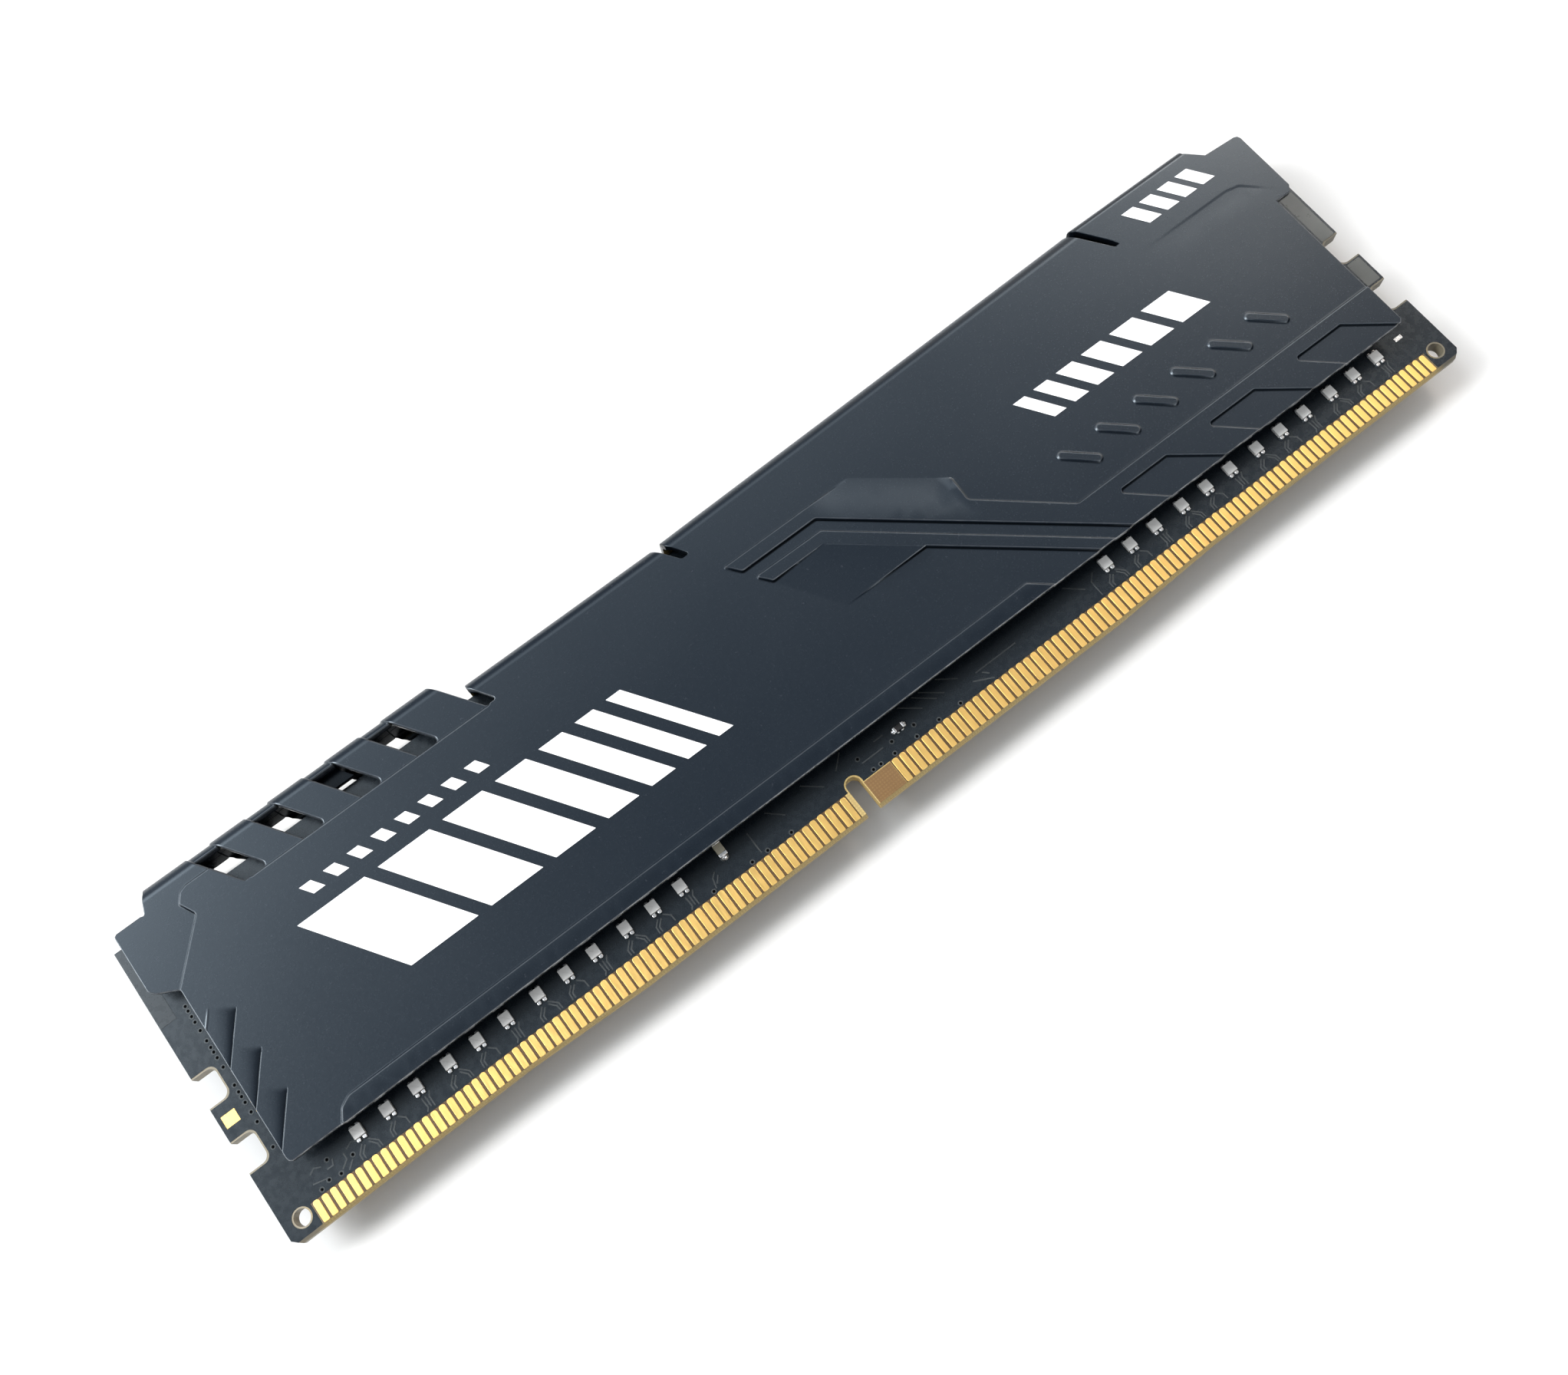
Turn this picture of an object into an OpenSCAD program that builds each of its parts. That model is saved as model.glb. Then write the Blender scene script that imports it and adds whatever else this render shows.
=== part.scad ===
// Desktop memory module between two stamped heat spreaders, lying on its front spreader.
// X runs along the contact edge, Y from the contact edge to the top edge, Z out of the rear face.
// The origin is the middle of the whole module, on the surface that it lies on.
// Sub-parts are drawn in board coordinates: u from the board's left end, v up from its lowest edge,
// and w out of the board's rear face, so the front face is at w = -board_t.

/* [Board] */
// Length of the board
board_l = 133.35; // [133.2:0.05:133.5]
// Height of the board from its lowest edge to its top edge
board_h = 31.25; // [31.1:0.05:31.4]
// Thickness of the board
board_t = 1.4; // [1.3:0.05:1.5]
// How far the end stretches of the contact edge stand back from its middle stretch
edge_lift = 0.5; // [0.3:0.1:0.6]
// Distance of the key notch's centre from the left end
key_u = 61.1; // [61:0.05:61.2]
// Width of the key notch
key_w = 1.5; // [1.4:0.05:1.6]
// Top of the key notch above the lowest edge
key_h = 3.75; // [3.6:0.05:4]
// Depth of the latch notches in the short sides
latch_d = 2.1; // [2:0.1:2.3]
// Height of each latch notch
latch_h = 3; // [2.8:0.1:3.2]
// Diameter of the round hole near each lower corner
hole_d = 1.5; // [1.4:0.1:1.6]

/* [Contacts] */
// Distance from one edge contact to the next
contact_pitch = 0.85; // [0.85:0.01:0.85]
// Width of one edge contact
contact_w = 0.6; // [0.5:0.02:0.64]
// Top of the edge contacts above the lowest edge
contact_top = 2.75; // [2.6:0.05:2.9]

/* [Heat spreaders] */
// Height of the spreaders' tallest stretch above the board's lowest edge
spreader_top = 34.1; // [33.9:0.1:34.4]
// Thickness of the whole module
stack_t = 7.2; // [7:0.1:7.6]
// Thickness of the spreader sheet
sheet_t = 0.6; // [0.5:0.05:0.7]
// Height of one embossed step
emboss_h = 0.25; // [0.1:0.05:0.25]
// Outer radius of the rolled top edge
roll_r = 1.5; // [1.3:0.1:1.6]
// Distance from one window to the next
window_pitch = 6.12; // [5.6:0.02:6.2]
// Width of a window along the module
window_w = 2.4; // [1.8:0.1:2.8]
// Angle between the windows' sides and the upright
window_slant = 34; // [30:1:36]

/* [Chips] */
// Width of a memory package
chip_w = 7.5; // [7:0.1:8]
// Height of a memory package
chip_h = 11; // [10:0.5:12]
// Distance from one memory package to the next
chip_pitch = 10.4; // [9.5:0.1:10.4]
// Distance from one group of three resistor arrays to the next
lane_pitch = 9.35; // [9:0.05:9.4]
// Distance between the resistor arrays in a group
array_pitch = 3; // [2.6:0.1:3]
// Side length of a resistor array
array_size = 1; // [0.8:0.05:1]

/* [Printed marks] */
// Height of the large printed bars
mark_h = 9; // [6:0.5:9]
// Width of the widest large bar along the module
mark_w = 7; // [4:0.5:7]
// Width of each large bar as a share of the one before it
mark_ratio = 0.78; // [0.6:0.02:0.8]

/* [Hidden] */
$fn = 48;

// Stack of the board, chips and spreaders, measured out of a board face
raised_w = (stack_t - board_t) / 2;
main_w = raised_w - emboss_h;
low_w = main_w - emboss_h;
inner_w = main_w - sheet_t;
mask_t = 0.03;
copper_t = 0.035;
ball_h = 0.3;
chip_t = 0.9;
chip_out_w = ball_h + chip_t;
through = 20;

// Board outline
corner_cut = 0.7;
ramp_left = [24, 36];
ramp_right = [90, 102];
latch_low_v = 8;
latch_high_v = 14.6;
latch_r = 0.75;
hole_u = 1.75;
hole_v = 2.25;
bevel_h = 0.25;
bevel_d = 0.35;
mask_inset = 0.15;

// Contact groups as seen from the rear: first contact's centre and the number of contacts
left_group = [3.35, 67];
right_group = [65.4, 77];
strip_end = 0.45;

// Chips and small components
chip_count = 8;
left_mid = 26.3;
right_mid = 109.5;
chip_mid_v = 17;
array_mid_v = 5.16;
array_t = 0.35;
ball_pitch = 0.8;
ball_r = 0.22;
ball_rows = 13;
ball_columns = [-4, -3, -2, 2, 3, 4];
bead_r = 0.19;
bead_h = 0.22;
large_cap = [1.6, 0.85, 0.8];
large_cap_place = [48.05, 5.7, 0];
small_cap = [1, 0.5, 0.5];
small_cap_rows = [9.3, 24.8];
cap_end_share = 0.22;
resistor = [1.2, 0.55, 0.35];
resistor_place = [67.52, 4.68, 0];
spd_size = [3, 2, 0.75];
spd_place = [66.7, 14];
spd_stand_off = 0.05;
pad_h = 12;
pad_l = 39.5;

// Spreader outline
face_left = 3.9;
face_right = 129.6;
face_bottom = 5.9;
shoulder_left = 1.45;
shoulder_right = 131.8;
top_b = 32;
top_c = [32.15, 33.5];
top_d = 33.5;
roll_r_d = 0.8;
edge_b = 38;
edge_c = 60.6;
edge_d = 111.4;
slope_c = atan((top_c[1] - top_c[0]) / (edge_d - edge_c));
lip_gap = 0.05;
lip_w = -board_t / 2 + lip_gap;
lean = tan(window_slant);
window_v = 28.75;
window_top = 33;
front_window_w = 1.2;
window_u = 13.35;
window_count = 4;
tab_window = 2;
strip_v = 7.65;
panel_pitch = 10.9;
panel_count = 3;
pill_pitch = 4.66;
pill_count = 6;
pill_r = 0.42;
pleat_pitch = 4.2;
pleat_count = 3;
pleat_d = 0.2;

// Printed groups: left end, bottom, number of bars, first bar's width, ratio to the bar before, gap and height
mark_t = 0.04;
mark_groups = [[21, 13.4, 7, mark_w, mark_ratio, 1.4, mark_h],
               [17.6, 23.9, 8, 1.2, 1, 1.3, 1.2],
               [97.6, 18.8, 6, 1.4, 1.2, 1.1, 3.4],
               [118.4, 29, 4, 1.5, 1, 0.8, 2.4]];

// Moves board coordinates into the module's own frame
module placed() {
  translate([-board_l / 2, -spreader_top / 2, stack_t - raised_w]) children();
}

// Mirrors a piece of the rear face onto the front face
module front_side() {
  translate([0, 0, -board_t]) mirror([0, 0, 1]) children();
}

// Parallelogram that leans like the windows, from its lower left corner
module slanted(u, v, w, h) {
  polygon([[u, v], [u + w, v], [u + w - lean * h, v + h], [u - lean * h, v + h]]);
}

// Slot with the same lean that stays open at the top; its right side turns upright at stop_u
module open_slot(u, v, w, stop_u) {
  open_v = spreader_top + 1;
  polygon([[u, v], [u + w, v], [stop_u, v + (u + w - stop_u) / lean], [stop_u, open_v],
           [u - lean * (open_v - v), open_v]]);
}

// ---- Board ----

// Rounded latch notch that opens towards the left of its own origin
module latch_notch(v, grow) {
  reach = latch_d + grow;
  low = v - grow;
  high = v + latch_h + grow;
  translate([-1, low]) square([1 + reach - latch_r, high - low]);
  translate([0, low + latch_r]) square([reach, high - low - 2 * latch_r]);
  for (corner_v = [low + latch_r, high - latch_r])
    translate([reach - latch_r, corner_v]) circle(latch_r);
}

module both_latch_notches(grow) {
  for (v = [latch_low_v, latch_high_v]) {
    latch_notch(v, grow);
    translate([board_l, 0]) mirror([1, 0]) latch_notch(v, grow);
  }
}

module key_notch(grow) {
  slot_r = key_w / 2 + grow;
  translate([key_u - slot_r, -1]) square([2 * slot_r, 1 + key_h + grow - slot_r]);
  translate([key_u, key_h + grow - slot_r]) circle(slot_r);
}

module both_holes(d) {
  for (u = [hole_u, board_l - hole_u])
    translate([u, hole_v]) circle(d = d);
}

// Board seen from the rear; grow widens every cut-out
module board_outline(grow = 0) {
  difference() {
    polygon([[0, edge_lift + corner_cut], [corner_cut, edge_lift], [ramp_left[0], edge_lift],
             [ramp_left[1], 0], [ramp_right[0], 0], [ramp_right[1], edge_lift],
             [board_l - corner_cut, edge_lift], [board_l, edge_lift + corner_cut],
             [board_l, board_h], [0, board_h]]);
    both_latch_notches(grow);
    key_notch(grow);
    both_holes(hole_d + 2 * grow);
  }
}

// Wedges that thin the contact edge from both faces along one straight stretch
module edge_bevel(start, end) {
  run = end - start;
  slope = atan2(run[1], run[0]);
  wedge_h = bevel_h * cos(slope);
  extra = 1;
  intersection() {
    translate([start[0], -through / 2, -through / 2]) cube([run[0], through, through]);
    translate(start) rotate([90, 0, 90 + slope])
      translate([0, 0, -extra]) linear_extrude(norm(run) + 2 * extra) {
        polygon([[-1, -bevel_d], [0, -bevel_d], [wedge_h, 0], [wedge_h, 1], [-1, 1]]);
        translate([0, -board_t])
          polygon([[-1, bevel_d], [0, bevel_d], [wedge_h, 0], [wedge_h, -1], [-1, -1]]);
      }
  }
}

module pcb_core() {
  color("olive") placed() difference() {
    translate([0, 0, -board_t]) linear_extrude(board_t) board_outline();
    edge_bevel([-1, edge_lift], [ramp_left[0], edge_lift]);
    for (side = [0, 1]) translate([side * (ramp_left[0] + ramp_right[1]), 0, 0]) mirror([side, 0, 0])
      edge_bevel([ramp_left[0], edge_lift], [ramp_left[1], 0]);
    edge_bevel([ramp_left[1], 0], [ramp_right[0], 0]);
    edge_bevel([ramp_right[1], edge_lift], [board_l + 1, edge_lift]);
  }
}

// Coating that leaves the strip of edge contacts bare
module solder_mask() {
  strip_u = left_group[0] - strip_end;
  linear_extrude(mask_t) difference() {
    board_outline(mask_inset);
    translate([strip_u, -1]) square([right_end() - strip_u, 1 + contact_top]);
    square([board_l * 2, 2 * (edge_lift + bevel_h)], center = true);
  }
}

// Far end of the strip of contacts
function right_end() = right_group[0] + (right_group[1] - 1) * contact_pitch + strip_end;

module solder_mask_rear() {
  color("black") placed() difference() {
    solder_mask();
    linear_extrude(1) pad_outline();
    linear_extrude(1) tinned_outline();
  }
}

module solder_mask_front() {
  color("black") placed() front_side() solder_mask();
}

// Height of the board's lowest edge at a place along the module
function edge_v(u) =
  u <= ramp_left[0] || u >= ramp_right[1] ? edge_lift
  : u < ramp_left[1] ? edge_lift * (ramp_left[1] - u) / (ramp_left[1] - ramp_left[0])
  : u <= ramp_right[0] ? 0
  : edge_lift * (u - ramp_right[0]) / (ramp_right[1] - ramp_right[0]);

// One group of gold contacts with round upper ends
module contact_group(group) {
  linear_extrude(copper_t) for (i = [0 : group[1] - 1]) {
    u = group[0] + i * contact_pitch;
    low = edge_v(u) + bevel_h;
    translate([u - contact_w / 2, low]) square([contact_w, contact_top - contact_w / 2 - low]);
    translate([u, contact_top - contact_w / 2]) circle(d = contact_w);
  }
}

module edge_contacts_rear_left() {
  color("gold") placed() contact_group(left_group);
}

module edge_contacts_rear_right() {
  color("gold") placed() contact_group(right_group);
}

module edge_contacts_front_left() {
  color("gold") placed() front_side() contact_group(left_group);
}

module edge_contacts_front_right() {
  color("gold") placed() front_side() contact_group(right_group);
}

// Ground pad on the tab between the left latch notches
module pad_outline() {
  translate([0.4, 12.25]) square([1.35, 1.15]);
}

module ground_pad_rear() {
  color("gold") placed() linear_extrude(copper_t) pad_outline();
}

// Tinned pad near the right end
module tinned_outline() {
  translate([129.3, 5.2]) square([0.86, 0.4]);
}

module tinned_pad_rear() {
  color("silver") placed() linear_extrude(2 * copper_t) tinned_outline();
}

// ---- Chips on the front face ----

function chip_u(i) = i < 4 ? left_mid + (i - 1.5) * chip_pitch : right_mid + (i - 5.5) * chip_pitch;

// Memory package: thin substrate below a moulded body
module dram_chip(i) {
  substrate_t = 0.25;
  mould_gap = 0.1;
  color("dimgray") placed() front_side() translate([chip_u(i), chip_mid_v, ball_h]) {
    translate([-chip_w / 2, -chip_h / 2, 0]) cube([chip_w, chip_h, substrate_t]);
    translate([mould_gap - chip_w / 2, mould_gap - chip_h / 2, substrate_t])
      cube([chip_w - 2 * mould_gap, chip_h - 2 * mould_gap, chip_t - substrate_t]);
  }
}

module dram_chip_1() dram_chip(0);
module dram_chip_2() dram_chip(1);
module dram_chip_3() dram_chip(2);
module dram_chip_4() dram_chip(3);
module dram_chip_5() dram_chip(4);
module dram_chip_6() dram_chip(5);
module dram_chip_7() dram_chip(6);
module dram_chip_8() dram_chip(7);

// Solder balls below four packages, in two blocks of three columns each
module solder_balls(first) {
  color("silver") placed() front_side() for (i = [first : first + 3]) {
    for (column = ball_columns, row = [0 : ball_rows - 1])
      translate([chip_u(i) + column * ball_pitch, chip_mid_v + (row - (ball_rows - 1) / 2) * ball_pitch,
                 mask_t])
        cylinder(h = ball_h - mask_t, r = ball_r, $fn = 16);
  }
}

module dram_solder_balls_left() solder_balls(0);
module dram_solder_balls_right() solder_balls(4);

// ---- Small components ----

// Calls its children at each of the twenty-four resistor arrays
module at_arrays() {
  for (mid = [left_mid, right_mid], lane = [-1.5 : 1.5], place = [-1 : 1])
    translate([mid + lane * lane_pitch + place * array_pitch, array_mid_v, mask_t]) children();
}

module array_body() {
  translate([-array_size / 2, -array_size / 2, 0.03]) cube([array_size, array_size, array_t]);
}

// Four solder beads, two on each side of an array
module array_beads() {
  for (side = [-1, 1], end = [-1, 1])
    translate([side * array_size * 0.28, end * (array_size / 2 + bead_r), 0])
      cylinder(h = bead_h, r = bead_r, $fn = 16);
}

module resistor_array_bodies_rear() {
  color("gainsboro") placed() at_arrays() array_body();
}

module resistor_array_terminals_rear() {
  color("silver") placed() at_arrays() array_beads();
}

module resistor_array_bodies_front() {
  color("gainsboro") placed() front_side() at_arrays() array_body();
}

module resistor_array_terminals_front() {
  color("silver") placed() front_side() at_arrays() array_beads();
}

// Two-ended chip component lying along u; size is [length, width, height]
module chip_body(size) {
  end_l = size[0] * cap_end_share;
  translate([end_l - size[0] / 2, -size[1] / 2, mask_t]) cube([size[0] - 2 * end_l, size[1], size[2]]);
}

module chip_ends(size) {
  end_l = size[0] * cap_end_share;
  for (side = [0, 1]) mirror([side, 0, 0])
    translate([-size[0] / 2, -size[1] / 2, mask_t]) cube([end_l, size[1], size[2]]);
}

// Calls its children at each decoupling capacitor, in a row above and a row below the chips
module at_small_caps() {
  for (i = [0 : chip_count - 1], side = [-1, 1], row_v = small_cap_rows)
    translate([chip_u(i) + side * chip_w / 4, row_v, 0]) children();
}

module capacitor_bodies_rear() {
  color("tan") placed() {
    translate(large_cap_place) rotate([0, 0, 90]) chip_body(large_cap);
    at_small_caps() chip_body(small_cap);
  }
}

module capacitor_terminals_rear() {
  color("silver") placed() {
    translate(large_cap_place) rotate([0, 0, 90]) chip_ends(large_cap);
    at_small_caps() chip_ends(small_cap);
  }
}

module capacitor_bodies_front() {
  color("tan") placed() front_side() at_small_caps() chip_body(small_cap);
}

module capacitor_terminals_front() {
  color("silver") placed() front_side() at_small_caps() chip_ends(small_cap);
}

// Chip resistor that shows below the rear spreader, right of the key notch
module chip_resistor_body() {
  color("black") placed() translate(resistor_place) chip_body(resistor);
}

module chip_resistor_terminals() {
  color("silver") placed() translate(resistor_place) chip_ends(resistor);
}

// Configuration memory in the middle of the front face
module spd_eeprom() {
  color("black") placed() front_side()
    translate([spd_place[0] - spd_size[0] / 2, spd_place[1] - spd_size[1] / 2, mask_t + spd_stand_off])
      cube(spd_size);
}

module spd_solder_lands() {
  color("silver") placed() front_side()
    for (side = [-1, 1], land = [-1.5 : 1.5])
      translate([spd_place[0] + side * 1.2 - 0.2, spd_place[1] + land * 0.5 - 0.125, mask_t])
        cube([0.4, 0.25, spd_stand_off]);
}

// ---- Thermal pads ----

module thermal_pad(mid, from_w) {
  translate([mid - pad_l / 2, chip_mid_v - pad_h / 2, from_w]) cube([pad_l, pad_h, inner_w - from_w]);
}

module thermal_pad_front_left() {
  color("lightblue") placed() front_side() thermal_pad(left_mid, chip_out_w);
}

module thermal_pad_front_right() {
  color("lightblue") placed() front_side() thermal_pad(right_mid, chip_out_w);
}

module foam_pad_rear_left() {
  color("gray") placed() thermal_pad(left_mid, mask_t);
}

module foam_pad_rear_right() {
  color("gray") placed() thermal_pad(right_mid, mask_t);
}

// ---- Heat spreaders ----

// Height at which the flat face meets the roll along the sloping stretch
function base_c(u) = top_c[0] + (u - edge_c) * tan(slope_c) - roll_r / cos(slope_c);

// Flat face of the spreader up to its shoulders and to where its top edge begins to roll
module face_outline() {
  polygon([[face_left, face_bottom + 0.4], [face_left + 0.4, face_bottom],
           [face_right, face_bottom], [face_right, 23.1], [shoulder_right - 0.5, 23.1],
           [shoulder_right, 23.8], [shoulder_right, 31.2], [127.7, 31.4],
           [127, top_d - roll_r_d], [edge_d, top_d - roll_r_d],
           [edge_d, base_c(edge_d)], [edge_c, base_c(edge_c)],
           [edge_c, top_b - roll_r], [edge_b, top_b - roll_r],
           [edge_b, spreader_top - roll_r], [4.8, spreader_top - roll_r],
           [4.45, 31.7], [shoulder_left, 31.7], [shoulder_left, 25.7],
           [1.95, 25.1], [face_left, 24]]);
}

// Area stamped one step lower: the left shoulder and the ribs between the windows
module low_area() {
  polygon([[shoulder_left, 25.7], [1.95, 25.1], [face_left, 24], [8.35, 28.85], [7.55, 30.6],
           [8.2, 31.35], [8.9, 31.65], [11.4, 31.65], [window_u, window_v], [39.7, window_v],
           [edge_b + 0.5, top_b - roll_r], [edge_b, top_b - roll_r], [edge_b, spreader_top - roll_r],
           [4.8, spreader_top - roll_r], [4.45, 31.7], [shoulder_left, 31.7]]);
}

// Raised bands: long bottom strip, outer band with the lower right field, and inner band
module raised_bands() {
  polygon([[9, face_bottom], [10, 7.3], [10.5, strip_v], [84.6, strip_v], [86.9, face_bottom]]);
  polygon([[65.1, 24.55], [73.5, 24.55], [95.9, face_bottom], [face_right, face_bottom],
           [face_right, 10.7], [93.4, 10.7], [85.8, 17.3], [86, 20], [78.5, 26], [64.2, 26], [64, 25.8]]);
  polygon([[66.75, 22.05], [72.6, 22.05], [92, face_bottom], [93.9, face_bottom],
           [73.2, 23.3], [72.9, 23.45], [66, 23.45], [65.8, 23.3]]);
}

// Sunken parallelograms along the lower right edge
module sunken_panels() {
  for (i = [0 : panel_count - 1])
    translate([i * panel_pitch, 0])
      polygon([[97.4, 9.25], [102.9, 9.25], [107, face_bottom - 1], [100.6, face_bottom - 1],
               [100.5, face_bottom], [97.2, 8.9]]);
}

// Stretched pill between two points
module pill(start, end) {
  run = end - start;
  for (p = [start, end])
    translate(p) circle(pill_r);
  translate(start) rotate(atan2(run[1], run[0])) translate([0, -pill_r]) square([norm(run), 2 * pill_r]);
}

// Shallow slanted pleats beside the left edge
module side_pleats() {
  for (i = [0 : pleat_count - 1])
    translate([face_left, 7.1 + i * pleat_pitch])
      polygon([[-1, -1.3], [3.1, 4.3], [1.4, 5.8], [-1, 3.3]]);
}

// Quarter roll along u with a flat lip that reaches in towards the board's mid-plane
module rolled_edge(length, top, level, r) {
  tail = 0.3;
  axis_w = level - r;
  translate([0, top - r, axis_w]) rotate([90, 0, 90]) linear_extrude(length) {
    difference() {
      intersection() {
        circle(r);
        square(r);
      }
      circle(r - sheet_t);
    }
    translate([-tail, r - sheet_t]) square([tail, sheet_t]);
    translate([r - sheet_t, lip_w - axis_w]) square([sheet_t, axis_w - lip_w]);
  }
}

// Sheet of one area between its own outer level and the inside
module sheet(level) {
  translate([0, 0, level - sheet_t]) linear_extrude(sheet_t) children();
}

// The four leaning windows, from their lower edge up to a given height
module windows(top) {
  for (i = [0 : window_count - 1])
    slanted(window_u + i * window_pitch, window_v, window_w, top - window_v);
}

// Windows and open slots that go right through
module through_cuts() {
  translate([0, 0, -through / 2]) linear_extrude(through) {
    windows(window_top);
    open_slot(39.2, window_v, 1.1, edge_b + 0.6);
    open_slot(61.45, 29.2, 0.85, edge_c + 0.2);
    polygon([[0, 31.7], [4.2, 31.7], [4.35, 31.4], [4.55, 31.6], [5.45, 34.6], [0, 34.6]]);
    polygon([[126.1, 34.6], [126.1, 33.5], [127.7, 31.4], [shoulder_right, 31.2], [board_l, 31.2],
             [board_l, 34.6]]);
  }
  translate([0, 0, lip_w + 1.8]) linear_extrude(through) slanted(113.95, 29.15, 0.65, 5);
}

module spreader() {
  difference() {
    union() {
      sheet(main_w) difference() {
        face_outline();
        low_area();
      }
      sheet(low_w) low_area();
      translate([4, 0, 0]) rolled_edge(edge_b - 4, spreader_top, low_w, roll_r);
      translate([edge_b, 0, 0]) rolled_edge(edge_c - edge_b, top_b, main_w, roll_r);
      translate([edge_c, top_c[0], 0]) rotate([0, 0, slope_c])
        rolled_edge((edge_d - edge_c) / cos(slope_c), 0, main_w, roll_r);
      translate([edge_d, 0, 0]) rolled_edge(127 - edge_d, top_d, main_w, roll_r_d);
      sheet(raised_w) difference() {
        raised_bands();
        sunken_panels();
      }
      sheet(raised_w) for (i = [0 : pill_count - 1])
        translate([i * pill_pitch, 0]) pill([95.45, 15.3], [97.9, 13.05]);
    }
    through_cuts();
    translate([0, 0, main_w - pleat_d]) linear_extrude(1) side_pleats();
  }
}

module rear_spreader() {
  color("darkslategray") placed() spreader();
}

// Tab inside the third window that hooks under the rear spreader's lip
module locking_tab() {
  tab_l = 2.35;
  tab_low = board_h + 0.2;
  tab_top = spreader_top - sheet_t - lip_gap;
  tab_w = 0.35;
  root_w = -board_t - 1;
  low_u = window_u + tab_window * window_pitch - 2;
  high_u = low_u - lean * (tab_top - tab_low);
  translate([0, 0, tab_w]) linear_extrude(sheet_t) slanted(low_u, tab_low, tab_l, tab_top - tab_low);
  translate([high_u, tab_top - sheet_t, root_w]) cube([tab_l, sheet_t, tab_w + sheet_t - root_w]);
  translate([high_u, tab_top - sheet_t, root_w]) cube([tab_l, sheet_t + 2 * lip_gap, 1]);
}

// The front spreader's windows reach further round its rolled edge
module front_spreader() {
  color("darkslategray") placed() {
    front_side() difference() {
      spreader();
      translate([0, 0, front_window_w]) linear_extrude(through) windows(spreader_top + 1);
    }
    locking_tab();
  }
}

// ---- Printed marks ----

// Left end of bar i in a group, measured from the group's own left end
function bar_u(g, i) = i == 0 ? 0 : bar_u(g, i - 1) + g[3] * pow(g[4], i - 1) + g[5];

// Groups of plain leaning bars in white ink
module printed_marks() {
  translate([0, 0, main_w]) linear_extrude(mark_t)
    for (g = mark_groups, i = [0 : g[2] - 1])
      slanted(g[0] + bar_u(g, i), g[1], g[3] * pow(g[4], i), g[6]);
}

module printed_marks_rear() {
  color("white") placed() printed_marks();
}

module printed_marks_front() {
  color("white") placed() front_side() printed_marks();
}

pcb_core();
solder_mask_rear();
solder_mask_front();
edge_contacts_rear_left();
edge_contacts_rear_right();
edge_contacts_front_left();
edge_contacts_front_right();
ground_pad_rear();
tinned_pad_rear();
dram_chip_1();
dram_chip_2();
dram_chip_3();
dram_chip_4();
dram_chip_5();
dram_chip_6();
dram_chip_7();
dram_chip_8();
dram_solder_balls_left();
dram_solder_balls_right();
resistor_array_bodies_rear();
resistor_array_terminals_rear();
resistor_array_bodies_front();
resistor_array_terminals_front();
capacitor_bodies_rear();
capacitor_terminals_rear();
capacitor_bodies_front();
capacitor_terminals_front();
chip_resistor_body();
chip_resistor_terminals();
spd_eeprom();
spd_solder_lands();
thermal_pad_front_left();
thermal_pad_front_right();
foam_pad_rear_left();
foam_pad_rear_right();
rear_spreader();
front_spreader();
printed_marks_rear();
printed_marks_front();
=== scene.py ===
"""Looks of the memory module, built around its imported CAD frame.

Lengths are in millimetres in board coordinates until the last step: u runs from the board's left end along
the contact edge, v from the lowest contact edge to the top edge, and w out of the board's rear face. On a
spreader's flat sheet, s takes the place of v: it runs on around the rolled top edge.
"""

import math

import bpy
import numpy as np
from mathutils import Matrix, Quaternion, Vector
from mathutils.geometry import delaunay_2d_cdt


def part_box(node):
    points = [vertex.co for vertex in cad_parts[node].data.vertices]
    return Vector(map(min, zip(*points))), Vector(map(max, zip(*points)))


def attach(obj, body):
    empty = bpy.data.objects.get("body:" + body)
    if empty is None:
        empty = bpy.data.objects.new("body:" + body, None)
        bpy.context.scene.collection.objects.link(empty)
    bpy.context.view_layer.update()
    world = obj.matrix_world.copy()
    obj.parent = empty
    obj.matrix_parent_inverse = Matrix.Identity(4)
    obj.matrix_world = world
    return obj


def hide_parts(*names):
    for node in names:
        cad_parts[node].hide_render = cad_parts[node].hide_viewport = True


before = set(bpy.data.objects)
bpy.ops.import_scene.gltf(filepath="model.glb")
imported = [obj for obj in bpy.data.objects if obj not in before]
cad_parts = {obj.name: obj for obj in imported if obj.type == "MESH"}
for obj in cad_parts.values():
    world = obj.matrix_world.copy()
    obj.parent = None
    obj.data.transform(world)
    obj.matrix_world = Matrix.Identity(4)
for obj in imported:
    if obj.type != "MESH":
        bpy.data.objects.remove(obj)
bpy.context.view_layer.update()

MM = 0.001
board_low, board_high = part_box("pcb_core")
ORIGIN = np.array([board_low.x, board_low.y, board_high.z])
BOARD_T = (board_high.z - board_low.z) / MM


def placed(points):
    """Board coordinates in millimetres to the frame's metres."""
    return ORIGIN + np.asarray(points, float) * MM


def smooth(t):
    """Smooth step from 0 at t = 0 to 1 at t = 1."""
    t = np.clip(t, 0.0, 1.0)
    return t * t * (3.0 - 2.0 * t)


# --- mesh builder


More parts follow.
